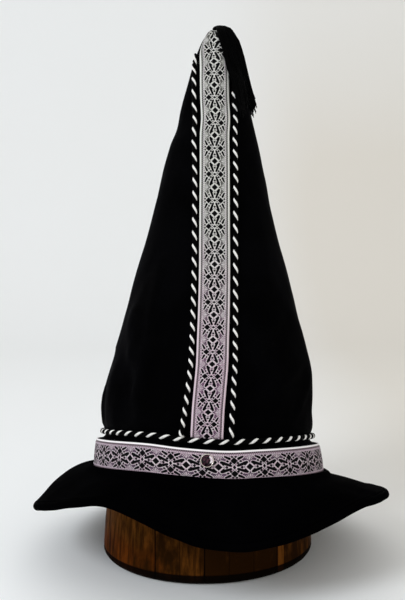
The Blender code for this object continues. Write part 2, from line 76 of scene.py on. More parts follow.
# Crown sections from the lower edge to the peak: height, half width, half depth, shift to +X
CROWN_SECTIONS = (
    (-0.0125, 0.0985, 0.0970, 0.0015),
    (0.0000, 0.0977, 0.0968, 0.0009),
    (0.0118, 0.0954, 0.0952, 0.0002),
    (0.0128, 0.0925, 0.0925, 0.0001),
    (0.0140, 0.0900, 0.0900, 0.0000),
    (0.0168, 0.0886, 0.0886, 0.0000),
    (0.0208, 0.0900, 0.0900, 0.0000),
    (0.0260, 0.0918, 0.0918, -0.0005),
    (0.0390, 0.0918, 0.0918, -0.0013),
    (0.0570, 0.0908, 0.0908, -0.0003),
    (0.0745, 0.0885, 0.0885, 0.0010),
    (0.0920, 0.0846, 0.0846, 0.0014),
    (0.1190, 0.0780, 0.0780, 0.0017),
    (0.1550, 0.0688, 0.0688, 0.0015),
    (0.1910, 0.0593, 0.0593, 0.0009),
    (0.2280, 0.0508, 0.0508, 0.0005),
    (0.2750, 0.0408, 0.0401, 0.0006),
    (0.2930, 0.0356, 0.0346, 0.0018),
    (0.3120, 0.0317, 0.0300, 0.0014),
    (0.3360, 0.0260, 0.0230, 0.0016),
    (0.3560, 0.0212, 0.0168, 0.0020),
    (0.3700, 0.0170, 0.0124, 0.0024),
    (0.3795, 0.0136, 0.0096, 0.0030),
    (0.3840, 0.0108, 0.0074, 0.0032),
    (0.3866, 0.0070, 0.0046, 0.0032),
    (0.3878, 0.0000, 0.0000, 0.0032),
)

# Folds of the crown: each is a ridge, or a groove where its rise is negative
# azimuth and height of its lower end, azimuth and height of its upper end, half width, rise
CROWN_FOLDS = (
    (-35, 0.022, -37, 0.172, 0.010, 0.0042),
    (-25, 0.030, -29, 0.135, 0.010, -0.0026),
    (-40, 0.062, -60, 0.128, 0.010, 0.0032),
    (-47, 0.022, -49, 0.082, 0.009, -0.0030),
    (-60, 0.021, -64, 0.080, 0.008, 0.0022),
    (-72, 0.021, -84, 0.092, 0.009, -0.0024),
    (17, 0.036, 62, 0.086, 0.010, 0.0024),
    (26, 0.070, 56, 0.122, 0.010, -0.0022),
    (72, 0.024, 66, 0.130, 0.012, 0.0024),
    (118, 0.022, 104, 0.150, 0.014, 0.0034),
    (-122, 0.022, -112, 0.160, 0.014, 0.0032),
    (168, 0.022, 150, 0.118, 0.014, 0.0036),
    (-166, 0.060, -140, 0.124, 0.014, -0.0034),
    (-56, 0.022, -54, 0.062, 0.004, 0.0012),
    (-67, 0.022, -71, 0.070, 0.004, 0.0012),
    (-79, 0.022, -86, 0.060, 0.004, 0.0012),
    (-43, 0.040, -30, 0.090, 0.005, 0.0012),
    (-51, 0.060, -44, 0.118, 0.006, 0.0011),
    (34, 0.024, 44, 0.060, 0.005, 0.0010),
    (52, 0.030, 70, 0.076, 0.006, 0.0012),
    (-72, 0.120, -52, 0.165, 0.012, -0.0009),
    (40, 0.120, 70, 0.175, 0.012, -0.0010),
)
# How many half widths a fold reaches to, and how bluntly it ends
FOLD_REACH = 4
FOLD_END = 0.7
# Gathers round the peak: how many, their rise, the heights they start at and are full at, and the radius that
# they fade below
GATHERS = 9
GATHER_RISE = 0.0007
GATHER_START = 0.330
GATHER_FULL = 0.360
GATHER_RADIUS = 0.01

# How far the base of the crown, with its trims, dips below a level ring: azimuth, rise
BASE_WAVE = (
    (-180, 0.0000),
    (-90, 0.0010),
    (-55, 0.0009),
    (-30, 0.0006),
    (-12, -0.0018),
    (8, -0.0033),
    (24, -0.0022),
    (45, -0.0008),
    (70, 0.0004),
    (110, 0.0004),
)
# The same for the brim, and how high its collar stands over the ribbon's lower edge: azimuth, rise, height
BRIM_WAVE = (
    (-180, 0.0000, 0.0030),
    (-140, 0.0018, 0.0030),
    (-112, 0.0052, 0.0030),
    (-90, 0.0022, 0.0030),
    (-70, 0.0008, 0.0030),
    (-55, 0.0009, 0.0030),
    (-30, 0.0006, 0.0034),
    (-12, -0.0024, 0.0050),
    (8, -0.0050, 0.0060),
    (24, -0.0032, 0.0052),
    (45, -0.0012, 0.0038),
    (70, 0.0004, 0.0030),
    (110, 0.0004, 0.0030),
)
# Heights that the crown's wave fades out between
WAVE_FADE_START = 0.022
WAVE_FADE_END = 0.075

# Brim: azimuth, mean slope below level in degrees, how much the slope grows either side of the mean, width
BRIM_SECTIONS = (
    (-180, 18.0, 7.0, 0.0575),
    (-140, 17.5, 12.0, 0.0575),
    (-112, 27.5, 26.0, 0.0585),
    (-90, 36.0, 30.0, 0.0592),
    (-60, 29.0, 13.0, 0.0575),
    (-43, 20.5, 9.0, 0.0575),
    (-30, 15.5, 8.0, 0.0575),
    (-21, 21.5, 8.0, 0.0575),
    (-11, 34.0, 12.0, 0.0575),
    (-2, 42.5, 15.0, 0.0575),
    (13, 44.5, 16.0, 0.0575),
    (24, 38.5, 14.0, 0.0575),
    (36, 26.5, 10.0, 0.0565),
    (47, 17.0, 7.0, 0.0560),
    (62, 14.5, 4.0, 0.0555),
    (90, 15.5, 2.0, 0.0550),
    (130, 16.0, 6.0, 0.0575),
)
# Thickness, radius of the rolled edge, and how much of the roll's extra thickness the cloth near it takes up
BRIM_CLOTH = 0.0030
BRIM_ROLL = 0.0032
BRIM_SWELL = 0.8
# Where the brim leaves the crown, how much further it reaches towards +X, and its inner lip
BRIM_ROOT_RADIUS = 0.0998
BRIM_ROOT_HEIGHT = -0.0143
BRIM_FLARE = 0.0015
LIP_RADIUS = 0.0948

# Centre line of the front ribbon: height, azimuth, share of the full width
FRONT_RIBBON_LINE = (
    (0.0212, -0.6, 1.0),
    (0.0400, 0.5, 1.0),
    (0.1000, 0.6, 1.0),
    (0.2150, 1.2, 1.0),
    (0.2620, 0.7, 1.0),
    (0.3100, -2.0, 1.0),
    (0.3510, -6.5, 1.05),
    (0.3690, -11.0, 1.06),
    (0.3790, -15.0, 0.95),
    (0.3850, -19.0, 0.72),
)
FRONT_RIBBON_GAP = 0.0008

# Each cord is laid of three strands, and each strand is twisted from yarns: their number, length of one turn
CORD_STRANDS = 3
YARNS = 5
YARN_TURN = 0.0022
# Side cords, from the foot up: height, distance along the cloth from the front ribbon's centre line, turns
LEFT_CORD = (
    (0.0200, -0.0197, -1.46),
    (0.0230, -0.0195, -1.10),
    (0.0318, -0.0185, -0.06),
    (0.0404, -0.0175, 1.0),
    (0.0584, -0.0167, 3.0),
    (0.0955, -0.0162, 6.98),
    (0.1377, -0.0162, 11.0),
    (0.1838, -0.0162, 15.0),
    (0.2321, -0.0163, 19.0),
    (0.2680, -0.0172, 22.0),
    (0.3055, -0.0178, 25.0),
    (0.3327, -0.0184, 27.0),
    (0.3561, -0.0196, 29.0),
    (0.3610, -0.0194, 29.4),
)
RIGHT_CORD = (
    (0.0200, 0.0186, -0.84),
    (0.0230, 0.0185, -0.51),
    (0.0281, 0.0184, 0.06),
    (0.0467, 0.0183, 2.0),
    (0.0638, 0.0177, 4.0),
    (0.0914, 0.0173, 7.0),
    (0.1335, 0.0167, 11.0),
    (0.1794, 0.0168, 15.0),
    (0.2257, 0.0173, 19.0),
    (0.2719, 0.0171, 23.05),
    (0.3068, 0.0167, 26.12),
    (0.3260, 0.0166, 27.8),
)
CORD_CLEARANCE = 0.0008
# The feet of the side cords sink behind the base cord: share of their rise that is lost, where they start to sink
CORD_TUCK = 0.75
CORD_TUCK_HEIGHT = 0.0245
BASE_CORD_HEIGHT = 0.0186

# Stone and setting, whose place is given by the azimuth and the height that its middle lies at
STONE_AZIMUTH = -0.7
STONE_RISE = 0.0041
SETTING_RADIUS = 0.0053
SETTING_DEPTH = 0.0034
SETTING_WALL = 0.0006
SETTING_FLOOR = 0.0008
STONE_RADIUS = 0.0046
STONE_FACETS = 8
# Rings of the cut stone: share of its radius, height above its base, turn in half facets, points per facet
STONE_RINGS = (
    (0.62, 0.0000, 0, 1),
    (1.00, 0.0011, 0, 2),
    (1.00, 0.0014, 0, 2),
    (0.86, 0.0023, 1, 1),
    (0.60, 0.0031, 0, 1),
)

# Tassel: how its threads lie from the peak down the crown's side
TASSEL_HEAD = (0.0056, 0.0, 0.3904)
HEAD_AZIMUTHS = (-8, 146)
TIP_AZIMUTHS = (26, 116)
# Share of the way from the azimuth at the head to that at the tip, height
THREAD_LINE = (
    (0.00, 0.3868),
    (0.12, 0.3835),
    (0.30, 0.3765),
    (0.52, 0.3670),
    (0.72, 0.3570),
    (0.86, 0.3470),
    (0.95, 0.3370),
    (1.00, 0.3270),
    (1.02, 0.3180),
    (1.02, 0.3120),
)
# How far the lowest threads stand out from the crown: azimuth, distance where they cross the front ribbon
THREAD_RISE = (
    (30, 0.0023),
    (48, 0.0023),
    (62, 0.0008),
    (150, 0.0008),
)
# Where the threads cross the right cord: how far they rise, degrees to each side, height over its end
THREAD_OVER_CORD = 0.0056
THREAD_CORD_REACH = 12
THREAD_CORD_FADE = 0.016
TASSEL_FLARE = 0.0026

# Hat block: radius and height from the middle of its top down, and how it is stretched and turned
BLOCK_PROFILE = (
    (0.0400, 0.1475),
    (0.0630, 0.1390),
    (0.0768, 0.1255),
    (0.0827, 0.1110),
    (0.0872, 0.0560),
    (0.0896, 0.0310),
    (0.0910, 0.0100),
    (0.0911, 0.0086),
    (0.0902, 0.0077),
    (0.0911, 0.0068),
    (0.0912, 0.0056),
    (0.0907, 0.0040),
    (0.0893, 0.0020),
    (0.0872, 0.0006),
    (0.0848, 0.0000),
)
BLOCK_TOP = 0.1500
BLOCK_LONG = 1.008
BLOCK_SHORT = 0.943
BLOCK_TURN = math.radians(-66)
BOARD_START = -0.0034
# Joints that have opened, counted from the board at BOARD_START, and how faint the others are
OPEN_JOINTS = (-2, 0, 3)
TIGHT_JOINT = 0.35
# Tone of each glued board, which the grain's own is added to: where the board starts along X, tone
BOARD_TONES = (
    (-0.100, 0.78),
    (-0.0622, 0.50),
    (-0.0426, 0.26),
    (-0.0230, 0.33),
    (-0.0034, -0.13),
    (0.0162, -0.11),
    (0.0358, 0.01),
    (0.0554, 0.80),
    (0.0602, 0.20),
    (0.0750, 0.34),
)

# Share of the ramp of tones that one metre along X takes up, and the height that the dark foot ends at
TONE_SPAN = 5.0
FOOT_TOP = 0.0074

# The woven pattern: length of one repeat, and how many repeats lie below each height of the front ribbon
MOTIF_REPEAT = 0.0246
MOTIF_COUNT = (
    (0.0200, -0.68),
    (0.0317, 0.0),
    (0.0659, 2.0),
    (0.1047, 4.0),
    (0.1468, 6.0),
    (0.1909, 8.0),
    (0.2385, 10.0),
    (0.2876, 12.0),
    (0.3383, 14.0),
    (0.3624, 15.0),
    (0.3850, 15.95),
)
BAND_REPEATS = 25
BAND_START = -2.9

# The photo's camera
CAMERA_PLACE = Vector((-0.005, -0.750, 0.280))
CAMERA_PITCH = math.radians(4.7)
CAMERA_LENS = 52.3


# Steps that find a height on the crown's side, and that find its slope at a point, along it and in degrees
WALK_STEPS = 26
SLOPE_STEP = 0.002
SLOPE_TURN = 2


def smooth_value(rows, key, column, period=None):
    """One column of a table at a key in its first column, on a smooth curve through the rows."""
    if period:
        before = (rows[-1][0] - period, *rows[-1][1:])
        after = [(row[0] + period, *row[1:]) for row in rows[:2]]
        rows = [before, *rows, *after]
        while key < rows[1][0]:
            key += period
        while key >= rows[1][0] + period:
            key -= period
    key = min(max(key, rows[0][0]), rows[-1][0])
    index = 0
    while index < len(rows) - 2 and key > rows[index + 1][0]:
        index += 1

    def slope(at):
        low = max(at - 1, 0)
        high = min(at + 1, len(rows) - 1)
        return (rows[high][column] - rows[low][column]) / (rows[high][0] - rows[low][0])

    start = rows[index]
    end = rows[index + 1]
    span = end[0] - start[0]
    t = (key - start[0]) / span
    return (
        (2 * t**3 - 3 * t**2 + 1) * start[column]
        + (t**3 - 2 * t**2 + t) * span * slope(index)
        + (3 * t**2 - 2 * t**3) * end[column]
        + (t**3 - t**2) * span * slope(index + 1)
    )


def ease(value, low, high):
    """Zero below low, one above high, and a smooth step between."""
    t = min(max((value - low) / (high - low), 0.0), 1.0)
    return t * t * (3 - 2 * t)


def wrapped(azimuth):
    """The same azimuth from -180 up to 180 degrees."""
    return (azimuth + 180) % 360 - 180


def level_way(point):
    """The level direction from the upright axis to a point."""
    return Vector((point.x, point.y, 0.0)).normalized()


def turned(radius, angle, height):
    """A point on a circle round the upright axis."""
    return Vector((radius * math.cos(angle), radius * math.sin(angle), height))


def crown_rows():
    """The crown's sections keyed by the length walked along its side from the lower edge."""
    rows = []
    walked = 0.0
    for index, section in enumerate(CROWN_SECTIONS):
        if index:
            last = CROWN_SECTIONS[index - 1]
            walked += math.hypot(section[0] - last[0], section[1] - last[1])
        rows.append((walked, *section))
    return rows


CROWN_ROWS = crown_rows()
CROWN_LENGTH = CROWN_ROWS[-1][0]


def walk_to(height):
    """The length walked up the crown's side to reach a height."""
    low = 0.0
    high = CROWN_LENGTH
    for _ in range(WALK_STEPS):
        middle = (low + high) / 2
        if smooth_value(CROWN_ROWS, middle, 1) < height:
            low = middle
        else:
            high = middle
    return low


def base_wave(azimuth, height):
    """How far a point of the base is lifted, fading out up the crown."""
    fade = 1 - ease(height, WAVE_FADE_START, WAVE_FADE_END)
    return smooth_value(BASE_WAVE, azimuth, 1, 360) * fade


def fold_rise(azimuth, height, radius):
    """How far the folds and the gathers at the peak push the cloth out."""
    rise = 0.0
    for low_azimuth, low_height, high_azimuth, high_height, half_width, depth in CROWN_FOLDS:
        share = (height - low_height) / (high_height - low_height)
        if not 0 < share < 1:
            continue
        centre = low_azimuth + (high_azimuth - low_azimuth) * share
        across = math.radians(wrapped(azimuth - centre)) * radius / half_width
        if abs(across) < FOLD_REACH:
            rise += depth * math.exp(-across * across) * math.sin(math.pi * share) ** FOLD_END
    strength = ease(height, GATHER_START, GATHER_FULL) * min(1, radius / GATHER_RADIUS)
    return rise + strength * GATHER_RISE * math.cos(math.radians(azimuth) * GATHERS)


def crown_surface(azimuth, walked):
    """A point of the crown's outer surface, in the hat's frame."""
    height, half_width, half_depth, shift = (
        smooth_value(CROWN_ROWS, walked, column) for column in (1, 2, 3, 4))
    half_width = max(half_width, 0.0)
    half_depth = max(half_depth, 0.0)
    out = fold_rise(azimuth, height, half_width)
    angle = math.radians(azimuth)
    return Vector((
        shift + (half_width + out) * math.sin(angle),
        -(half_depth + out) * math.cos(angle),
        height + base_wave(azimuth, height),
    ))


def crown_point(azimuth, walked, out=0.0):
    """A point that stands a distance out from the crown's surface, in the hat's frame."""
    point = crown_surface(azimuth, walked)
    if not out:
        return point
    low = min(max(walked, SLOPE_STEP), CROWN_LENGTH - 2 * SLOPE_STEP)
    along = crown_surface(azimuth, low + SLOPE_STEP) - crown_surface(azimuth, low - SLOPE_STEP)
    across = crown_surface(azimuth + SLOPE_TURN, low) - crown_surface(azimuth - SLOPE_TURN, low)
    return point + across.cross(along).normalized() * out


def beside_ribbon(height, reach):
    """The azimuth at a height that lies a distance along the cloth from the front ribbon's centre line."""
    half_width = smooth_value(CROWN_ROWS, walk_to(height), 2)
    return smooth_value(FRONT_RIBBON_LINE, height, 1) + math.degrees(reach / half_width)


def seated(point):
    """A point of the hat's frame, in the part's frame."""
    return SEAT @ point


def linked(name, data):
    """A new object in the scene that holds a mesh or a curve."""
    obj = bpy.data.objects.new(name, data)
    bpy.context.scene.collection.objects.link(obj)
    return obj


def new_piece(name, data, materials, replaced=()):
    """Makes a finished mesh a piece that rides on the body."""
    obj = linked(name, data)
    for material in materials:
        obj.data.materials.append(material)
    if replaced:
        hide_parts(*replaced)
    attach(obj, BODY)


def evaluated_mesh(obj):
    """The object's evaluated mesh, with the object itself removed."""
    graph = bpy.context.evaluated_depsgraph_get()
    mesh = bpy.data.meshes.new_from_object(obj.evaluated_get(graph), depsgraph=graph)
    data = obj.data
    bpy.data.objects.remove(obj)
    if isinstance(data, bpy.types.Mesh):
        bpy.data.meshes.remove(data)
    return mesh


def finished_mesh(name, bm, smooth=True):
    """A mesh with what a bmesh holds, which is freed."""
    mesh = bpy.data.meshes.new(name)
    bm.to_mesh(mesh)
    bm.free()
    if smooth:
        mesh.shade_smooth()
    return mesh


def wrapped_mesh(name, columns, rows, place, uv=None):
    """A grid wrapped onto place(column, row), with a UV map in metres, joined where its edges meet."""
    bm = bmesh.new()
    bmesh.ops.create_grid(bm, x_segments=columns, y_segments=rows, size=1.0)
    spots = {}
    for vert in bm.verts:
        spots[vert] = (round((vert.co.x + 1) / 2 * columns), round((vert.co.y + 1) / 2 * rows))
    for vert, spot in spots.items():
        vert.co = place(*spot)
    if uv:
        layer = bm.loops.layers.uv.new(UV_NAME)
        for face in bm.faces:
            for loop in face.loops:
                loop[layer].uv = uv(*spots[loop.vert])
    bmesh.ops.remove_doubles(bm, verts=bm.verts, dist=WELD)
    return finished_mesh(name, bm)


def azimuth_of(column, columns):
    """The azimuth in degrees of a column, of a number of them that go once round from the back."""
    return -180 + 360 * column / columns


def with_walls(mesh, thickness, side):
    """The mesh with walls of a thickness, inwards where side is -1 and outwards where it is 1."""
    obj = linked(mesh.name, mesh)
    walls = obj.modifiers.new("walls", "SOLIDIFY")
    walls.thickness = thickness
    walls.offset = side
    walls.use_even_offset = True
    walls.use_quality_normals = True
    return evaluated_mesh(obj)


class Number:
    """A value in a node tree. Reckoning with it adds Math nodes."""

    def __init__(self, graph, socket):
        self.graph = graph
        self.socket = socket

    def __abs__(self):
        return self.graph.calc("ABSOLUTE", self)

    def __add__(self, other):
        return self.graph.calc("ADD", self, other)

    def __sub__(self, other):
        return self.graph.calc("SUBTRACT", self, other)

    def __rsub__(self, other):
        return self.graph.calc("SUBTRACT", other, self)

    def __mul__(self, other):
        return self.graph.calc("MULTIPLY", self, other)

    def __truediv__(self, other):
        return self.graph.calc("DIVIDE", self, other)


class Graph:
    """Short calls that add nodes to a node tree and link them."""

    def __init__(self, tree):
        self.tree = tree
        self.count = 0

    def add(self, kind, inputs=(), **settings):
        """A new node with its settings, and its inputs by name or number."""
        made = self.tree.nodes.new(kind)
        self.count += 1
        made.location = (self.count % 12 * 190, -(self.count // 12) * 260)
        for name, value in settings.items():
            setattr(made, name, value)
        self.fill(made, inputs)
        return made

    def fill(self, node, inputs):
        """Links a node's inputs to values in the tree, or sets them to plain ones."""
        for key, value in dict(inputs).items():
            socket = node.inputs[key]
            if isinstance(value, Number):
                self.tree.links.new(value.socket, socket)
            elif socket.type == "RGBA":
                socket.default_value = (*value[:3], 1.0)
            else:
                socket.default_value = value

    def out(self, kind, inputs=(), output=0, **settings):
        """One output of a new node."""
        return Number(self, self.add(kind, inputs, **settings).outputs[output])

    def calc(self, operation, *values, clamp=False):
        return self.out("ShaderNodeMath", enumerate(values), operation=operation, use_clamp=clamp)

    def mix(self, factor, first, second):
        """A colour between two colours."""
        inputs = {0: factor, 6: first, 7: second}
        return self.out("ShaderNodeMix", inputs, 2, data_type="RGBA", clamp_factor=True)

    def step(self, value, low, high, start=0.0, end=1.0):
        """Rises from start to end as the value goes from low to high."""
        inputs = enumerate((value, low, high, start, end))
        return self.out("ShaderNodeMapRange", inputs, clamp=True, interpolation_type="SMOOTHSTEP")

    def wave(self, value, length=math.tau):
        """The sine of a value that repeats after a length."""
        return self.calc("SINE", value * (math.tau / length))

    def noise(self, vector, scale, detail=3.0, roughness=0.5):
        inputs = {"Vector": vector, "Scale": scale, "Detail": detail, "Roughness": roughness}
        return self.out("ShaderNodeTexNoise", inputs, "Fac")

    def vector(self, operation, first, second):
        return self.out("ShaderNodeVectorMath", {0: first, 1: second}, operation=operation)

    def stretch(self, vector, scale):
        return self.out("ShaderNodeMapping", {"Vector": vector, "Scale": scale})

    def bump(self, height, distance, strength):
        return self.out("ShaderNodeBump", {"Height": height, "Distance": distance, "Strength": strength})

    def parts(self, vector):
        """The three numbers of a vector."""
        return [Number(self, socket) for socket in self.add("ShaderNodeSeparateXYZ", {0: vector}).outputs]

    def group(self, tree, **values):
        """The outputs of a node group by their names."""
        inputs = {name.replace("_", " "): value for name, value in values.items()}
        made = self.add("ShaderNodeGroup", inputs, node_tree=tree)
        return {socket.name: Number(self, socket) for socket in made.outputs}


def new_group(name, inputs, outputs, kind="ShaderNodeTree"):
    """A node group with named inputs, each with its type and default, and outputs that have one type."""
    tree = bpy.data.node_groups.new(name, kind)
    for socket_name, socket_kind, default in inputs:
        socket = tree.interface.new_socket(
            socket_name, in_out="INPUT", socket_type=f"NodeSocket{socket_kind}")
        if default is not None:
            socket.default_value = default
    socket_kind = "Geometry" if kind == "GeometryNodeTree" else "Float"
    for socket_name in outputs:
        tree.interface.new_socket(socket_name, in_out="OUTPUT", socket_type=f"NodeSocket{socket_kind}")
    graph = Graph(tree)
    given = {socket.name: Number(graph, socket) for socket in graph.add("NodeGroupInput").outputs}
    return tree, graph, given, graph.add("NodeGroupOutput")


def new_material(name):
    """A material with its graph, its shader and its Object coordinates."""
    material = bpy.data.materials.new(name)
    material.use_nodes = True
    graph = Graph(material.node_tree)
    shader = material.node_tree.nodes["Principled BSDF"]
    return material, graph, shader, graph.out("ShaderNodeTexCoord", (), "Object")


def shaded(colour, share):
    """A share of a colour."""
    return tuple(value * share for value in colour)


def motif_group():
    """The ribbon's woven star and leaf pattern: masks of its dark thread, its bright outlines and its field.

    It is mirrored across the ribbon and along it. Inside, lengths are in millimetres of a ribbon that repeats
    every 21.7 mm, from the small cross that the leaves grow from to the flower half a repeat further.
    """
    tree, graph, given, end = new_group(
        "woven_star",
        [("Across", "Float", 0.0), ("Along", "Float", 0.0), ("Repeat", "Float", MOTIF_REPEAT),
         ("Spread", "Float", 0.0)],
        ["Dark", "Bright", "Field"],
    )
    calc = graph.calc
    step = graph.step
    flower_along = 10.85
    fan_across = 8.8
    fan_rays = 15.0
    across = abs(given["Across"]) * (1 / MM)
    along = calc("PINGPONG", given["Along"] / given["Repeat"], 0.5) * (2 * flower_along)

    def distance_to(x, y):
        return abs(across - x), abs(along - y)

    def length(x, y):
        return calc("SQRT", x * x + y * y)

    def diamond(x, y, size, wide=1.0):
        first, second = distance_to(x, y)
        return first * (1 / wide) + second - size

    def flower(x, y, reach, size):
        first, second = distance_to(x, y)
        return calc("MINIMUM", abs(first - reach) + second, first + abs(second - reach)) - size

    def leaf(start, end, first_radius, last_radius):
        reach_x = end[0] - start[0]
        reach_y = end[1] - start[1]
        squared = reach_x**2 + reach_y**2
        off_x = across - start[0]
        off_y = along - start[1]
        share = calc("ADD", off_x * (reach_x / squared), off_y * (reach_y / squared), clamp=True)
        away = length(off_x - share * reach_x, off_y - share * reach_y)
        return away - (share * (last_radius - first_radius) + first_radius)

    shapes = [
        diamond(0, 0, 0.70, 1.4),
        leaf((1.25, 2.5), (3.25, 7.9), 0.38, 0.66),
        leaf((3.25, 7.9), (3.55, 8.8), 0.66, 0.50),
        leaf((3.2, 8.2), (1.95, 7.5), 0.58, 0.28),
        diamond(0, 5.3, 0.70),
        flower(4.9, 0, 1.02, 1.12),
        flower(0, flower_along, 1.10, 1.06),
        leaf((6.45, 3.2), (7.85, 6.2), 0.52, 0.20),
        diamond(3.2, 2.5, 0.68),
        diamond(4.6, 4.6, 0.72, 0.8),
        diamond(7.9, 1.3, 0.60),
    ]
    nearest = shapes[0]
    for shape in shapes[1:]:
        nearest = calc("MINIMUM", nearest, shape)
    nearest = nearest - given["Spread"]
    dark = step(nearest, -0.14, 0.14, 1.0, 0.0)
    outline = abs(nearest - 0.38)
    ring = abs(diamond(0, flower_along, 3.3))
    ray_x, ray_y = distance_to(fan_across, flower_along)
    ray = graph.wave(calc("ARCTAN2", ray_y, ray_x) * fan_rays)
    fan = step(ray, -0.5, 0.6, 0.05, 1.0) * step(length(ray_x, ray_y), 2.6, 4.2, 1.0, 0.0)
    bright = calc("MAXIMUM", step(calc("MINIMUM", outline, ring), 0.13, 0.40, 1.0, 0.0), fan)
    field = step(across, 8.45, 8.65, 1.0, 0.0)
    graph.fill(end, {"Dark": dark * field, "Bright": bright * (1.0 - dark), "Field": field})
    return tree


def ribbon_weave_group():
    """The ribbon's edges and threads.

    It gives masks of the dark line, of the selvage outside it, of the column inside it and of that column's dots,
    a height for bump, and where the threads cross.
    """
    tree, graph, given, end = new_group(
        "ribbon_weave",
        [("Across", "Float", 0.0), ("Along", "Float", 0.0)],
        ["Dark line", "Selvage", "Column", "Dots", "Height", "Thread"],
    )
    across = abs(given["Across"])
    inner = graph.step(across, 0.0096, 0.0098)
    outer = graph.step(across, 0.0110, 0.0112)
    picks = graph.wave(given["Along"], STITCH_PITCH)
    dots = graph.step(picks, -0.5, 0.4)
    line = (inner - outer) * (dots * 0.25 + 0.75)
    column = graph.step(across, 0.0086, 0.0088) * (1.0 - inner)
    warp = graph.wave(given["Across"], 0.00052)
    weft = graph.wave(given["Along"], 0.00046)
    thread = warp * weft * 0.5 + 0.5
    twill = graph.wave(given["Across"] + given["Along"], 0.0011)
    height = twill * 0.15 + thread * 0.4 + outer * (picks * 0.35 + 0.8) + column * dots - line
    graph.fill(end, {
        "Dark line": line,
        "Selvage": outer,
        "Column": column,
        "Dots": column * dots,
        "Height": height,
        "Thread": thread,
    })
    return tree


def fibre_group():
    """Fine streaks of fibre along a direction and wide clouds, for velvet pile and wood grain."""
    tree, graph, given, end = new_group(
        "fibre",
        [("Vector", "Vector", None), ("Stretch", "Vector", None), ("Scale", "Float", 200.0)],
        ["Streaks", "Clouds"],
    )
    stretched = graph.vector("MULTIPLY", given["Vector"], given["Stretch"])
    graph.fill(end, {
        "Streaks": graph.noise(stretched, given["Scale"], 4.0),
        "Clouds": graph.noise(given["Vector"], 22.0),
    })
    return tree


GROUPS = {}


def shared(name, maker):
    """What a maker makes, made the first time that its name is asked for."""
    if name not in GROUPS:
        GROUPS[name] = maker()
    return GROUPS[name]


def velvet_material(name, base, sheen, brush, gloss):
    """Black pile: nearly no base colour, a cool sheen at the edges of folds, and brushed patches."""
    material, graph, shader, place = new_material(name)
    fibre = graph.group(shared("fibre", fibre_group), Vector=place, Stretch=(1.0, 1.0, 0.45), Scale=900.0)
    tone = graph.mix(graph.step(fibre["Clouds"], 0.38, 0.66), shaded(base, 0.5), shaded(base, brush))
    tone = graph.mix(fibre["Streaks"] * 0.5, tone, base)
    height = graph.noise(place, 260.0, 2.0) * 0.6 + fibre["Streaks"]
    graph.fill(shader, {
        "Base Color": tone,
        "Roughness": fibre["Streaks"] * 0.15 + 0.60,
        "Specular IOR Level": gloss,
        "Sheen Weight": sheen,
        "Sheen Roughness": 0.30,
        "Sheen Tint": (0.70, 0.66, 1.0),
        "Normal": graph.bump(height, 0.0004, 0.35),
    })
    return material


def ribbon_material(name, ink, low, high, spread, rims):
    """Woven leaves and stars on a paler ground, with a dotted column, a dark line and a bright selvage.

    low and high hold the colours of the ground and of the lines, low on the hat and near its peak. rims say how
    white the selvage is on each side; where they differ, the whiter upper side is painted light and the dimmer
    lower side is painted shade.
    """
    material, graph, shader, place = new_material(name)
    step = graph.step
    across, along, _ = graph.parts(graph.out("ShaderNodeUVMap", uv_map=UV_NAME))
    motif = graph.group(shared("woven_star", motif_group), Across=across, Along=along, Spread=spread)
    weave = graph.group(shared("ribbon_weave", ribbon_weave_group), Across=across, Along=along)
    patches = graph.noise(place, 45.0, 2.0)
    slubs = graph.noise(place, 900.0, 2.0)
    risen = (patches - 0.5) * 0.10 + graph.parts(place)[2]
    tint, line_tone = (graph.mix(step(risen, 0.15, 0.30), *pair) for pair in zip(low, high))
    ground = graph.mix(step(patches, 0.36, 0.64, 0.30, 0.05), tint, (0.0, 0.0, 0.0))
    ground = graph.mix(step(slubs, 0.42, 0.62, 0.0, 0.7), ground, (0.03, 0.026, 0.032))
    shine = graph.mix(step(slubs, 0.36, 0.62, 0.0, 0.7), line_tone, (0.90, 0.88, 0.88))
    rim = graph.mix(step(across, -0.004, 0.004, *rims), line_tone, (0.92, 0.91, 0.91))
    tone = graph.mix(motif["Bright"] * 0.85, ground, shine)
    for mask, colour in (
        (weave["Thread"] * 0.30, (0.05, 0.045, 0.05)),
        (motif["Dark"], ink),
        (1.0 - motif["Field"], line_tone),
        (weave["Column"] * (1.0 - weave["Dots"]) * 0.85, (0.06, 0.05, 0.06)),
        (weave["Dark line"] * 0.95, (0.02, 0.017, 0.02)),
        (weave["Selvage"], rim),
    ):
        tone = graph.mix(mask, tone, colour)
    relief = motif["Dark"] * -0.8 + weave["Height"] + motif["Bright"] * 0.4
    graph.fill(shader, {
        "Base Color": tone,
        "Roughness": motif["Dark"] * 0.25 + 0.45,
        "Specular IOR Level": 0.05,
        "Normal": graph.bump(relief, 0.00022, 0.8),
    })
    return material


def thread_material(name, colour, shade, roughness, sheen, gloss):
    """Twisted thread: slanted yarn ridges that follow each strand, with paler crests and grooves darkened as
    painted shade.
    """
    material, graph, shader, place = new_material(name)
    along, around = (
        graph.out("ShaderNodeAttribute", (), "Fac", attribute_name=key) for key in ("along", "around"))
    ridges = graph.wave(around * (math.tau * YARNS) + along * (math.tau / YARN_TURN)) * 0.5 + 0.5
    fuzz = graph.noise(place, 2600.0, 2.0)
    graph.fill(shader, {
        "Base Color": graph.mix(ridges * (fuzz * 0.5 + 0.6), shade, colour),
        "Roughness": roughness,
        "Sheen Weight": sheen,
        "Sheen Roughness": 0.4,
        "Specular IOR Level": gloss,
        "Normal": graph.bump(fuzz * 0.35 + ridges, 0.0002, 0.8),
    })
    return material


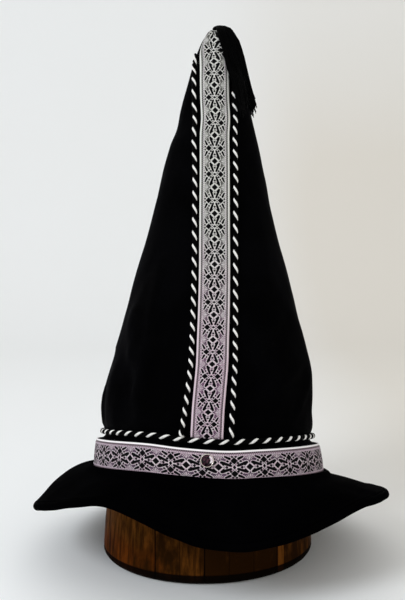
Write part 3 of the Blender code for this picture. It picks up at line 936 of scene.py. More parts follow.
def wood_material(settings):
    """Glued boards of warm stained wood with upright grain, dark joints, and a dark foot below the groove."""
    material, graph, shader, place = new_material("laminated_wood")
    calc = graph.calc
    step = graph.step
    across, _, height = graph.parts(place)
    board_place = (across - BOARD_START) / settings.board_width
    board = calc("FLOOR", board_place)
    inside = calc("FRACT", board_place)
    ramp = graph.add("ShaderNodeValToRGB", {0: across * TONE_SPAN + 0.5})
    ramp.color_ramp.interpolation = "CONSTANT"
    spots = ramp.color_ramp.elements
    for index, (start, tone) in enumerate(BOARD_TONES):
        spot = spots.new(start * TONE_SPAN + 0.5) if index else spots[0]
        spot.position = start * TONE_SPAN + 0.5
        spot.color = (tone, tone, tone, 1.0)
    spots.remove(spots[-1])
    offset = graph.out("ShaderNodeCombineXYZ", {1: board * 0.37, 2: board * 0.61})
    grain = graph.vector("ADD", place, offset)
    fibre = graph.group(shared("fibre", fibre_group), Vector=grain, Stretch=(1.0, 1.0, 0.06), Scale=330.0)
    wide = graph.noise(graph.stretch(grain, (1.0, 1.0, 0.40)), 95.0, 5.0, 0.62)
    wood = tuple(settings.wood)
    dark = shaded(wood, 0.10)
    red = (wood[0] * 0.62, wood[1] * 0.36, wood[2] * 0.22)
    pale = (wide - 0.5) * 2.0 + Number(graph, ramp.outputs[0])
    tone = graph.mix(step(pale, 0.05, 1.05), dark, wood)
    edge = graph.noise(graph.stretch(place, (1.0, 1.0, 0.5)), 60.0, 4.0) * 0.030 + height
    # Darker, redder tone low on the block, strongest towards its left.
    low_darkening = step(edge, 0.032, 0.056, 0.85, 0.0) * step(across, -0.045, -0.02, 1.0, 0.3)
    tone = graph.mix(low_darkening, tone, graph.mix(step(pale, 0.1, 1.0), dark, red))
    tone = graph.mix(step(fibre["Streaks"], 0.47, 0.66, 0.0, 0.72), tone, dark)
    nearest = calc("FLOOR", board_place + 0.5)
    opened = TIGHT_JOINT
    for index in OPEN_JOINTS:
        opened = calc("MAXIMUM", calc("COMPARE", nearest, index, 0.1), opened)
    seam = step(calc("MINIMUM", inside, 1.0 - inside), 0.010, 0.040, 0.96, 0.0) * opened
    tone = graph.mix(seam, tone, (0.0012, 0.0006, 0.0004))
    foot = step(height, FOOT_TOP, FOOT_TOP + 0.0018, 0.93, 0.0)
    graph.fill(shader, {
        "Base Color": graph.mix(foot, tone, (0.0016, 0.0010, 0.0008)),
        "Roughness": fibre["Streaks"] * 0.30 + 0.36,
        "Specular IOR Level": 0.006,
        "Normal": graph.bump(fibre["Streaks"] * 0.5 - seam, 0.0004, 0.5),
    })
    return material


def stone_material(name, scale, edges, first, second, **finish):
    """A material of the stone or its setting, whose colour goes in patches from one to another."""
    material, graph, shader, place = new_material(name)
    patches = graph.noise(place, scale, 2.0)
    if edges:
        patches = graph.step(patches, *edges)
    inputs = {"Base Color": graph.mix(patches, first, second)}
    inputs.update({key.replace("_", " "): value for key, value in finish.items()})
    graph.fill(shader, inputs)
    return material


def metal_material():
    """Bright plated metal, a little warm, with darker wear in patches."""
    material, graph, shader, place = new_material("plated_metal")
    wear = graph.noise(place, 700.0)
    graph.fill(shader, {
        "Base Color": graph.mix(wear, (0.62, 0.55, 0.50), (0.90, 0.84, 0.78)),
        "Metallic": 1.0,
        "Roughness": wear * 0.18 + 0.12,
    })
    return material


def rope_tree():
    """Lays strands round a path whose tilt turns with the twist, from a normal that Facing keeps steady."""
    tree, graph, given, end = new_group(
        "twisted_rope",
        [("Path", "Geometry", None), ("Helix radius", "Float", 0.0015), ("Strand radius", "Float", 0.0015),
         ("Phase", "Float", 0.0), ("Point spacing", "Float", 0.0009), ("Facing", "Vector", (0.0, 0.0, 1.0)),
         ("Strands", "Int", 1), ("Thread", "Material", None)],
        ["Rope"],
        "GeometryNodeTree",
    )
    out = graph.out
    tangent = out("GeometryNodeInputTangent")
    path = out("GeometryNodeResampleCurve", {"Curve": given["Path"], "Length": given["Point spacing"]},
               mode="LENGTH")
    beside = graph.vector("CROSS_PRODUCT", tangent, given["Facing"])
    path = out("GeometryNodeSetCurveNormal", {"Curve": path, "Normal": beside}, mode="FREE")
    copies = graph.add(
        "GeometryNodeDuplicateElements", {"Geometry": path, "Amount": given["Strands"]}, domain="SPLINE")
    strands, own = (Number(graph, socket) for socket in copies.outputs)
    angle = (own / CORD_STRANDS + given["Phase"]) * -math.tau
    normal = out("GeometryNodeInputNormal")
    offsets = []
    for direction, operation in (
            (normal, "COSINE"), (graph.vector("CROSS_PRODUCT", tangent, normal), "SINE")):
        reach = graph.calc(operation, angle) * given["Helix radius"]
        offsets.append(out("ShaderNodeVectorMath", {0: direction, "Scale": reach}, operation="SCALE"))
    strands = out(
        "GeometryNodeSetPosition", {"Geometry": strands, "Offset": graph.vector("ADD", *offsets)})

    def with_value(geometry, name, output):
        value = out("GeometryNodeSplineParameter", (), output)
        inputs = {"Geometry": geometry, "Name": name, "Value": value}
        return out("GeometryNodeStoreNamedAttribute", inputs, data_type="FLOAT", domain="POINT")

    ring = out("GeometryNodeCurvePrimitiveCircle", {"Resolution": 10, "Radius": given["Strand radius"]},
               mode="RADIUS")
    rope = out("GeometryNodeCurveToMesh", {
        "Curve": with_value(strands, "along", "Length"),
        "Profile Curve": with_value(ring, "around", "Factor"),
        "Fill Caps": True,
    })
    dress(graph, end, rope, given["Thread"])
    return tree


def stitch_tree():
    """Sets a small raised stitch on every point of a mesh, laid along the stored direction."""
    tree, graph, given, end = new_group(
        "raised_stitches",
        [("Points", "Geometry", None), ("Length", "Float", 0.0011), ("Width", "Float", 0.0009),
         ("Height", "Float", 0.0007), ("Variation", "Float", 0.12), ("Seed", "Int", 7),
         ("Thread", "Material", None)],
        ["Stitches"],
        "GeometryNodeTree",
    )
    out = graph.out
    grain = out("GeometryNodeMeshUVSphere", {"Segments": 8, "Rings": 5, "Radius": 0.5})
    size = out("ShaderNodeCombineXYZ", enumerate((given["Width"], given["Height"], given["Length"])))
    grain = out("GeometryNodeTransform", {"Geometry": grain, "Scale": size})
    along, outwards = (
        out("GeometryNodeInputNamedAttribute", {"Name": key}, data_type="FLOAT_VECTOR")
        for key in ("direction", "outwards"))
    turn = out("FunctionNodeAxesToRotation", {"Primary Axis": along, "Secondary Axis": outwards},
               primary_axis="Z", secondary_axis="Y")
    variation = given["Variation"]
    chance = out("FunctionNodeRandomValue", {2: 1.0 - variation, 3: variation + 1.0, "Seed": given["Seed"]},
                 1, data_type="FLOAT")
    spots = out("GeometryNodeMeshToPoints", {"Mesh": given["Points"]}, mode="VERTICES")
    stitches = out("GeometryNodeInstanceOnPoints", {
        "Points": spots, "Instance": grain, "Rotation": turn, "Scale": chance})
    dress(graph, end, stitches, given["Thread"])
    return tree


def dress(graph, end, geometry, thread):
    """Ends a tree: its instances are made real, shaded smooth and given their thread."""
    real = graph.out("GeometryNodeRealizeInstances", {0: geometry})
    smooth = graph.out("GeometryNodeSetShadeSmooth", {"Geometry": real})
    graph.fill(end, {0: graph.out("GeometryNodeSetMaterial", {"Geometry": smooth, "Material": thread})})


def grown(obj, tree, **values):
    """The mesh that a Geometry Nodes tree makes from the object, with the object removed."""
    modifier = obj.modifiers.new(tree.name, "NODES")
    modifier.node_group = tree
    wanted = {name.replace("_", " "): value for name, value in values.items()}
    for item in tree.interface.items_tree:
        if item.item_type == "SOCKET" and item.in_out == "INPUT" and item.name in wanted:
            modifier[item.identifier] = wanted.pop(item.name)
    if wanted:
        raise RuntimeError(f"{tree.name} has no input named {sorted(wanted)}")
    return evaluated_mesh(obj)


def add_line(curve, points, turns=None, closed=False):
    """Adds a poly line through the points to a curve, tilted by a number of turns at each."""
    spline = curve.splines.new("POLY")
    spline.points.add(len(points) - 1)
    for spot, point in zip(spline.points, points):
        spot.co = (*point, 1.0)
    for spot, turn in zip(spline.points, turns or ()):
        spot.tilt = turn * math.tau
    spline.use_cyclic_u = closed


def new_curve(name):
    curve = bpy.data.curves.new(name, "CURVE")
    curve.dimensions = "3D"
    return curve


COLOUR = {"subtype": "COLOR", "size": 3, "min": 0.0, "max": 1.0}
LENGTH = {"subtype": "DISTANCE", "unit": "LENGTH"}


class HatSettings(bpy.types.PropertyGroup):
    crown_columns: bpy.props.IntProperty(
        name="Crown columns", description="Mesh columns once round the crown", default=216, min=48, max=400)
    crown_row_step: bpy.props.FloatProperty(
        name="Crown row step", description="Distance between mesh rows up the crown", default=0.0027, **LENGTH)
    pucker: bpy.props.FloatProperty(
        name="Pucker", description="How far small wrinkles lift the velvet", default=0.0006, **LENGTH)
    velvet: bpy.props.FloatVectorProperty(
        name="Velvet", description="Colour of the black pile", default=(0.0006, 0.0006, 0.0008), **COLOUR)
    velvet_sheen: bpy.props.FloatProperty(
        name="Velvet sheen", description="Strength of the pale sheen on the crown's pile",
        default=0.005, min=0.0, max=1.0)


class TrimSettings(bpy.types.PropertyGroup):
    silver_thread: bpy.props.FloatVectorProperty(
        name="Ribbon silver thread", description="Colour of the lines near the peak",
        default=(0.66, 0.66, 0.61), **COLOUR)
    lilac_thread: bpy.props.FloatVectorProperty(
        name="Ribbon lilac thread", description="Colour of the lines low on the hat",
        default=(0.62, 0.45, 0.53), **COLOUR)
    ribbon_ink: bpy.props.FloatVectorProperty(
        name="Ribbon dark thread", description="Colour of the ribbon's dark thread",
        default=(0.0012, 0.0012, 0.0016), **COLOUR)
    side_cord_radius: bpy.props.FloatProperty(
        name="Side cord radius", description="Outer radius of the cords beside the front ribbon",
        default=0.0021, **LENGTH)
    base_cord_radius: bpy.props.FloatProperty(
        name="Base cord radius", description="Outer radius of the cord round the crown", default=0.0023, **LENGTH)
    base_cord_pitch: bpy.props.FloatProperty(
        name="Base cord pitch", description="Length of one full turn of a strand of the cord round the crown",
        default=0.0121, **LENGTH)
    twist_start: bpy.props.FloatProperty(
        name="Side cord start", description="Share of a turn that the side cords' white strands start at",
        default=-0.38)
    base_twist_start: bpy.props.FloatProperty(
        name="Base cord start", description="Share of a turn that the base cord's white strand starts at",
        default=0.02)
    white_thread: bpy.props.FloatVectorProperty(
        name="White thread", description="Colour of the cords' white strand", default=(0.96, 0.94, 0.91), **COLOUR)
    black_thread: bpy.props.FloatVectorProperty(
        name="Black thread", description="Colour of the cords' black strands",
        default=(0.0014, 0.0012, 0.0014), **COLOUR)


class TasselSettings(bpy.types.PropertyGroup):
    threads: bpy.props.IntProperty(
        name="Threads", description="Number of threads in the tassel", default=420, min=20, max=1200)
    thread_radius: bpy.props.FloatProperty(
        name="Thread radius", description="Radius of one thread", default=0.00036, **LENGTH)
    depth: bpy.props.FloatProperty(
        name="Tassel depth", description="Thickness of the layer of threads", default=0.0040, **LENGTH)
    seed: bpy.props.IntProperty(name="Seed", description="Seed of the threads' spread", default=11)


class BlockSettings(bpy.types.PropertyGroup):
    board_width: bpy.props.FloatProperty(
        name="Board width", description="Width of one glued board", default=0.0196, **LENGTH)
    joint_depth: bpy.props.FloatProperty(
        name="Joint depth", description="Depth of an open joint between two boards", default=0.0004, **LENGTH)
    wood: bpy.props.FloatVectorProperty(
        name="Wood", description="Colour of the palest boards", default=(0.160, 0.056, 0.0090), **COLOUR)


class StageSettings(bpy.types.PropertyGroup):
    floor: bpy.props.FloatVectorProperty(
        name="Floor", description="Colour of the floor and backdrop", default=(0.89, 0.905, 0.92), **COLOUR)
    key_power: bpy.props.FloatProperty(
        name="Key light", description="Power of the large light at the left", default=19.5, unit="POWER")
    fill_power: bpy.props.FloatProperty(
        name="Fill light", description="Power of the soft light at the right", default=2.0, unit="POWER")
    sky: bpy.props.FloatProperty(
        name="Sky", description="Strength of the even light from all round", default=0.81, min=0.0)


class WIZARDHAT_OT_crown(bpy.types.Operator):
    """Builds the velvet crown with its folds, creased base and blunt peak"""

    bl_idname = "wizard_hat.crown"
    bl_label = "Velvet crown"

    # Where the rows lie closer: below a height, and within a length of the peak; their share of the row step
    crease_top = 0.0225
    peak_reach = 0.012
    fine_step = 0.4
    # Between which heights the wrinkles start over the base cord and end below the peak, and between which
    # distances from the front ribbon's middle they start beside it
    over_cord = (0.021, 0.034)
    below_peak = (0.30, 0.36)
    beside_front = (0.018, 0.032)
    # Heights that the fine upright wrinkles at the base fade out between
    fine_fade = (0.03, 0.085)

    def row_walks(self, row_step):
        """The lengths walked up the side to each mesh row, which lie closer in the crease and at the peak."""
        walks = [0.0]
        crease = walk_to(self.crease_top)
        while walks[-1] < CROWN_LENGTH:
            fine = CROWN_LENGTH - walks[-1] < self.peak_reach or walks[-1] < crease
            walks.append(min(walks[-1] + row_step * (self.fine_step if fine else 1.0), CROWN_LENGTH))
        return walks

    def wrinkled(self, azimuth, point, pucker):
        """The point moved by small wrinkles, which stay clear of the trims and the peak."""
        free = ease(point.z, *self.over_cord) * (1 - ease(point.z, *self.below_peak))
        beside = abs(wrapped(azimuth - smooth_value(FRONT_RIBBON_LINE, point.z, 1)))
        free *= ease(math.radians(beside) * math.hypot(point.x, point.y), *self.beside_front)
        if not free:
            return point
        spot = Vector((point.x * 30, point.y * 30, point.z * 16))
        lift = noise.noise(spot) * 1.6 + noise.noise(spot * 2.7) * 0.7
        low = 1 - ease(point.z, *self.fine_fade)
        lift += low * 1.3 * noise.noise(Vector((point.x * 95, point.y * 95, point.z * 14)))
        return point + level_way(point) * lift * free * pucker

    def execute(self, context):
        settings = context.scene.wizard_hat
        columns = settings.crown_columns
        walks = self.row_walks(settings.crown_row_step)

        def place(column, row):
            azimuth = azimuth_of(column % columns, columns)
            return seated(self.wrinkled(azimuth, crown_surface(azimuth, walks[row]), settings.pucker))

        mesh = with_walls(wrapped_mesh("velvet_crown", columns, len(walks) - 1, place), CLOTH, -1)
        new_piece("velvet_crown", mesh, [VELVET["crown"]], ["crown"])
        return {"FINISHED"}


class WIZARDHAT_OT_brim(bpy.types.Operator):
    """Builds the soft double brim with its rolled edge and its collar under the ribbon"""

    bl_idname = "wizard_hat.brim"
    bl_label = "Velvet brim"

    columns = 300
    stations = 20
    roll_points = 14
    roll_start = -240
    roll_sweep = 300
    # Share of the width that the cloth swells from towards its edge, and radii that wrinkles start between
    swell_start = 0.86
    wrinkle_start = (0.108, 0.130)
    # The collar from outside in: distance out from the ribbon, share of its height
    collar_points = (
        (0.0042, 0.42), (0.0026, 0.78), (0.0014, 1.0), (0.0004, 0.95), (0.0, 0.6), (0.0, 0.0))

    def outline(self, azimuth):
        """The brim's closed section as radius and height, out along its underside and back on top."""
        mean, curl = (
            math.radians(smooth_value(BRIM_SECTIONS, azimuth, column, 360)) for column in (1, 2))
        length = smooth_value(BRIM_SECTIONS, azimuth, 3, 360) - BRIM_ROLL
        radius = BRIM_ROOT_RADIUS
        height = BRIM_ROOT_HEIGHT
        march = []
        for step in range(self.stations + 1):
            share = step / self.stations
            slope = mean + curl * (2 * share - 1)
            march.append((radius, height, slope, share))
            radius += math.cos(slope) * length / self.stations
            height -= math.sin(slope) * length / self.stations

        def offset(row, out, turn=0.0):
            angle = math.pi / 2 - row[2] + turn
            return row[0] + math.cos(angle) * out, row[1] + math.sin(angle) * out

        def half(share):
            """Half the thickness of the double cloth, a little more where the edge is rolled."""
            extra = (BRIM_ROLL - BRIM_CLOTH / 2) * ease(share, self.swell_start, 1.0) * BRIM_SWELL
            return BRIM_CLOTH / 2 + extra

        shelf = CROWN_SECTIONS[0][0] - GAP
        collar = smooth_value(BRIM_WAVE, azimuth, 2, 360)
        ribbon_out = CROWN_SECTIONS[0][2] + RIBBON_THICKNESS + 3 * GAP
        points = [(LIP_RADIUS, shelf - BRIM_CLOTH)]
        points += [offset(row, -half(row[3])) for row in march[1:-1]]
        for point in range(self.roll_points + 1):
            turn = math.radians(self.roll_start + self.roll_sweep * point / self.roll_points)
            points.append(offset(march[-1], BRIM_ROLL, turn))
        points += [offset(row, half(row[3])) for row in reversed(march[2:-1])]
        points += [(ribbon_out + out, shelf + collar * share) for out, share in self.collar_points]
        points += [(LIP_RADIUS, shelf), points[0]]
        return points

    def execute(self, context):
        settings = context.scene.wizard_hat
        outlines = [self.outline(azimuth_of(column, self.columns)) for column in range(self.columns)]

        def place(column, row):
            column = column % self.columns
            azimuth = azimuth_of(column, self.columns)
            radius, height = outlines[column][row]
            angle = math.radians(azimuth)
            lift = smooth_value(BRIM_WAVE, azimuth, 1, 360)
            free = ease(radius, *self.wrinkle_start)
            spot = Vector((math.sin(angle) * 3.2, math.cos(angle) * 3.2, radius * 14))
            lift += free * settings.pucker * (noise.noise(spot) * 1.8 + noise.noise(spot * 2.6) * 0.8)
            across = radius * math.sin(angle) + BRIM_FLARE * (1 + math.sin(angle))
            return seated(Vector((across, -radius * math.cos(angle), height + lift)))

        mesh = wrapped_mesh("velvet_brim", self.columns, len(outlines[0]) - 1, place)
        new_piece("velvet_brim", mesh, [VELVET["brim"]], ["brim"])
        return {"FINISHED"}


class WIZARDHAT_OT_ribbons(bpy.types.Operator):
    """Builds the woven ribbons round the base and up the front, with their raised stitches"""

    bl_idname = "wizard_hat.ribbons"
    bl_label = "Woven ribbons"

    # Distance of the stitch lines from the ribbon's middle
    stitch_reach = 0.0090
    # Distance to the points that give a stitch its direction
    look_ahead = 0.0005
    # Where the band ends on the crown, and how long its lines of stitches are
    band_top = 0.0118
    band_radius = 0.0968

    def ribbon(self, node, columns, rows, place, uv, material):
        """One ribbon with its thickness, woven of the material, on the node of the same name."""
        name = f"{node}_weave"
        mesh = with_walls(wrapped_mesh(name, columns, rows, place, uv), RIBBON_THICKNESS, 1)
        new_piece(name, mesh, [material], [node])

    def above(self, azimuth, walked, gap):
        """A point on the ribbon and the way outwards there, in the part's frame."""
        low, high = (crown_point(azimuth, walked, gap + RIBBON_THICKNESS * count) for count in (1, 2))
        return seated(low), (SEAT.to_3x3() @ (high - low)).normalized()

    def stitches(self, name, slot, length, place):
        """One piece of raised stitches a pitch apart along both sides, from place(distance, side)."""
        spots = []
        directions = []
        normals = []
        count = int(length / STITCH_PITCH)
        for side in (-1, 1):
            for index in range(count):
                distance = (index + 0.5) * length / count
                spot, outwards = place(distance, side)
                ahead, _ = place(min(distance + self.look_ahead, length), side)
                behind, _ = place(max(distance - self.look_ahead, 0.0), side)
                spots.append(spot)
                directions.append((ahead - behind).normalized())
                normals.append(outwards)
        mesh = bpy.data.meshes.new(name)
        mesh.from_pydata(spots, [], [])
        for key, vectors in (("direction", directions), ("outwards", normals)):
            layer = mesh.attributes.new(key, "FLOAT_VECTOR", "POINT")
            layer.data.foreach_set("vector", [value for vector in vectors for value in vector])
        tree = shared("raised_stitches", stitch_tree)
        new_piece(name, grown(linked(name, mesh), tree, Thread=THREADS["stitch"]), [])

    def execute(self, context):
        self.make_band(context.scene.wizard_trims)
        self.make_front(context.scene.wizard_trims)
        return {"FINISHED"}

    def make_band(self, trims):
        columns = 360
        rows = 20
        top = walk_to(self.band_top)
        girth = math.tau * self.band_radius
        # The band is the same ribbon as the front one: its darker ground and the wider spread of its dark thread
        # are painted shade.
        tones = ((0.11, 0.06, 0.11), tuple(trims.lilac_thread))
        # The band's lower selvage is less white than its upper one: painted shade below and painted light above.
        material = ribbon_material("band_weave", tuple(trims.ribbon_ink), tones, tones, 0.46, (0.60, 0.85))

        def place(column, row):
            return seated(crown_point(azimuth_of(column % columns, columns), top * row / rows, GAP))

        def uv(column, row):
            along = (azimuth_of(column, columns) - BAND_START) / 360 * BAND_REPEATS * MOTIF_REPEAT
            return (row / rows - 0.5) * RIBBON_WIDTH, along

        def spot(distance, side):
            walked = top * (0.5 + side * self.stitch_reach / RIBBON_WIDTH)
            return self.above(azimuth_of(distance, girth), walked, GAP)

        self.ribbon("band_ribbon", columns, rows, place, uv, material)
        self.stitches("band_stitches", "band_ribbon", girth, spot)

    def make_front(self, trims):
        columns = 20
        rows = 170
        foot = walk_to(FRONT_RIBBON_LINE[0][0])
        length = walk_to(FRONT_RIBBON_LINE[-1][0]) - foot
        low = ((0.18, 0.09, 0.16), tuple(trims.lilac_thread))
        high = ((0.17, 0.17, 0.15), tuple(trims.silver_thread))
        material = ribbon_material("front_weave", tuple(trims.ribbon_ink), low, high, 0.34, (0.2, 0.2))

        def edge_azimuth(walked, reach):
            height = smooth_value(CROWN_ROWS, walked, 1)
            return beside_ribbon(height, reach * smooth_value(FRONT_RIBBON_LINE, height, 2))

        def place(column, row):
            walked = foot + length * row / rows
            reach = RIBBON_WIDTH * (column / columns - 0.5)
            return seated(crown_point(edge_azimuth(walked, reach), walked, FRONT_RIBBON_GAP))

        def uv(column, row):
            height = smooth_value(CROWN_ROWS, foot + length * row / rows, 1)
            return (column / columns - 0.5) * RIBBON_WIDTH, smooth_value(MOTIF_COUNT, height, 1) * MOTIF_REPEAT

        def spot(distance, side):
            walked = foot + distance
            return self.above(edge_azimuth(walked, side * self.stitch_reach), walked, FRONT_RIBBON_GAP)

        self.ribbon("front_ribbon", columns, rows, place, uv, material)
        self.stitches("front_stitches", "front_ribbon", length, spot)


class WIZARDHAT_OT_cords(bpy.types.Operator):
    """Builds the three twisted cords, each of one white strand and two black ones"""

    bl_idname = "wizard_hat.cords"
    bl_label = "Twisted cords"

    side_points = 360
    base_points = 480
    # Colour, number of strands, turn of the first one, share of the cord's radius
    strands = (("white", 1, 0.0, 0.47), ("black", 2, 1 / CORD_STRANDS, 0.52))

    def rope(self, node, points, turns, radius, facing, closed=False):
        """A rope of three strands along the points: its white strand and its black ones are a piece each."""
        tree = shared("twisted_rope", rope_tree)
        for colour, count, phase, share in self.strands:
            name = f"{node}_{colour}"
            strand = radius * share
            path = new_curve(name)
            add_line(path, points, turns, closed)
            mesh = grown(
                linked(name, path), tree, Helix_radius=radius - strand, Strand_radius=strand, Phase=phase,
                Facing=facing, Strands=count, Thread=THREADS[colour])
            new_piece(name, mesh, [], [node] if colour == "white" else [])

    def side_cord(self, node, line, trims):
        radius = trims.side_cord_radius
        foot = line[0][0]
        points = []
        turns = []
        for index in range(self.side_points + 1):
            height = foot + (line[-1][0] - foot) * index / self.side_points
            azimuth = beside_ribbon(height, smooth_value(line, height, 1))
            tucked = CORD_TUCK * (1 - ease(height, foot, CORD_TUCK_HEIGHT))
            out = (radius + CORD_CLEARANCE) * (1 - tucked)
            points.append(seated(crown_point(azimuth, walk_to(height), out)))
            turns.append(trims.twist_start - smooth_value(line, height, 2))
        self.rope(node, points, turns, radius, (0.0, -1.0, 0.0))

    def base_cord(self, trims):
        radius = trims.base_cord_radius
        walked = walk_to(BASE_CORD_HEIGHT)
        points = []
        for index in range(self.base_points):
            spot = crown_surface(azimuth_of(index, self.base_points), walked)
            points.append(seated(spot + level_way(spot) * (radius + GAP)))
        lengths = [0.0]
        for before, after in zip(points, points[1:]):
            lengths.append(lengths[-1] + (after - before).length)
        length = lengths[-1] + (points[0] - points[-1]).length
        repeats = round(length / trims.base_cord_pitch)
        turns = [trims.base_twist_start - repeats * value / length for value in lengths]
        self.rope("base_cord", points, turns, radius, (0.0, 0.0, 1.0), closed=True)

    def execute(self, context):
        trims = context.scene.wizard_trims
        self.side_cord("left_cord", LEFT_CORD, trims)
        self.side_cord("right_cord", RIGHT_CORD, trims)
        self.base_cord(trims)
        return {"FINISHED"}


class WIZARDHAT_OT_stone(bpy.types.Operator):
    """Builds the cut stone, the foil behind it and its beaded setting"""

    bl_idname = "wizard_hat.stone"
    bl_label = "Set stone"

    columns = 64
    beads = 26
    bead_radius = 0.00036
    bead_inset = 0.0003
    # The foil's round patch: how far it lies off the middle, set to the left so a crescent of bright metal shows
    # at the right as a painted highlight, and its share of the inner radius
    highlight_foil_shift = -0.0012
    foil_share = 0.82
    # Share of the stone's radius that its side facets lie beyond, and bearings of those given a near-white
    # material as a painted glint
    facet_share = 0.6
    painted_glint_bearings = ((-34, 50),)

    def make_setting(self, seat):
        wall = SETTING_RADIUS
        rim = SETTING_DEPTH
        inner = SETTING_RADIUS - SETTING_WALL
        floor = SETTING_FLOOR
        profile = (
            (0.0, 0.0),
            (wall - 0.0002, 0.0),
            (wall, 0.0002),
            (wall, rim - 0.0012),
            (wall - 0.0001, rim - 0.0006),
            (wall - 0.0003, rim - 0.0002),
            (inner + 0.0001, rim),
            (inner - 0.0002, rim - 0.0002),
            (inner - 0.0002, rim - 0.0006),
            (inner, floor),
            (inner * 0.84, floor),
            (inner * 0.66, floor),
            (inner * 0.48, floor),
            (0.0, floor),
        )

        def place(column, row):
            radius, height = profile[row]
            return seat @ turned(radius, math.tau * (column % self.columns) / self.columns, height)

        mesh = wrapped_mesh("setting", self.columns, len(profile) - 1, place)
        bm = bmesh.new()
        bm.from_mesh(mesh)
        for index in range(self.beads):
            spot = turned(wall - self.bead_inset, math.tau * index / self.beads, rim - self.bead_inset)
            bmesh.ops.create_icosphere(
                bm, subdivisions=2, radius=self.bead_radius, matrix=seat @ Matrix.Translation(spot))
        bm.to_mesh(mesh)
        bm.free()
        mesh.shade_smooth()
        # The dark foil sits off to the left, so the bare metal floor shows as a bright crescent at the right: a
        # painted highlight.
        foil_centre = seat @ Vector((0.0, 0.0, floor)) + Vector((self.highlight_foil_shift, 0.0, 0.0))
        for face in mesh.polygons:
            face.material_index = int((face.center - foil_centre).length < inner * self.foil_share)
        foil = stone_material(
            "dark_foil", 420.0, (), (0.004, 0.002, 0.006), (0.06, 0.02, 0.06), Metallic=0.6, Roughness=0.25)
        new_piece("setting", mesh, [metal_material(), foil], ["stone_setting"])

    def make_stone(self, seat):
        bm = bmesh.new()
        for share, height, turn, per_facet in STONE_RINGS:
            count = STONE_FACETS * per_facet
            for index in range(count):
                angle = math.tau * index / count + math.pi * turn / STONE_FACETS
                bm.verts.new(seat @ turned(STONE_RADIUS * share, angle, height + SETTING_FLOOR + GAP))
        bmesh.ops.convex_hull(bm, input=bm.verts)
        bmesh.ops.recalc_face_normals(bm, faces=bm.faces)
        mesh = finished_mesh("cut_stone", bm, smooth=False)
        for face in mesh.polygons:
            spot = seat.inverted() @ face.center
            at_edge = math.hypot(spot.x, spot.y) > STONE_RADIUS * self.facet_share
            bearing = math.degrees(math.atan2(spot.y, spot.x))
            face.material_index = int(at_edge and any(low < bearing < high for low, high in self.painted_glint_bearings))
        crystal = stone_material(
            "cut_crystal", 500.0, (0.40, 0.62), (0.003, 0.0015, 0.003), (0.07, 0.025, 0.04),
            Roughness=0.03, IOR=1.45, Transmission_Weight=0.3, Specular_IOR_Level=0.06)
        # Near-white glossy colour on the side facets at those bearings: a painted glint.
        facet = stone_material(
            "painted_glint_facet", 900.0, (0.40, 0.60), (0.55, 0.42, 0.52), (0.97, 0.95, 0.97), Roughness=0.1)
        new_piece("cut_stone", mesh, [crystal, facet], ["stone"])

    def execute(self, context):
        walked = walk_to(STONE_RISE)
        face = crown_point(STONE_AZIMUTH, walked, GAP + RIBBON_THICKNESS)
        outwards = (face - crown_point(STONE_AZIMUTH, walked)).normalized()
        sagitta = SETTING_RADIUS**2 / (2 * CROWN_SECTIONS[1][1])
        turn = outwards.to_track_quat("Z", "Y").to_matrix().to_4x4()
        seat = SEAT @ Matrix.Translation(face + outwards * (GAP + sagitta)) @ turn
        self.make_setting(seat)
        self.make_stone(seat)
        return {"FINISHED"}


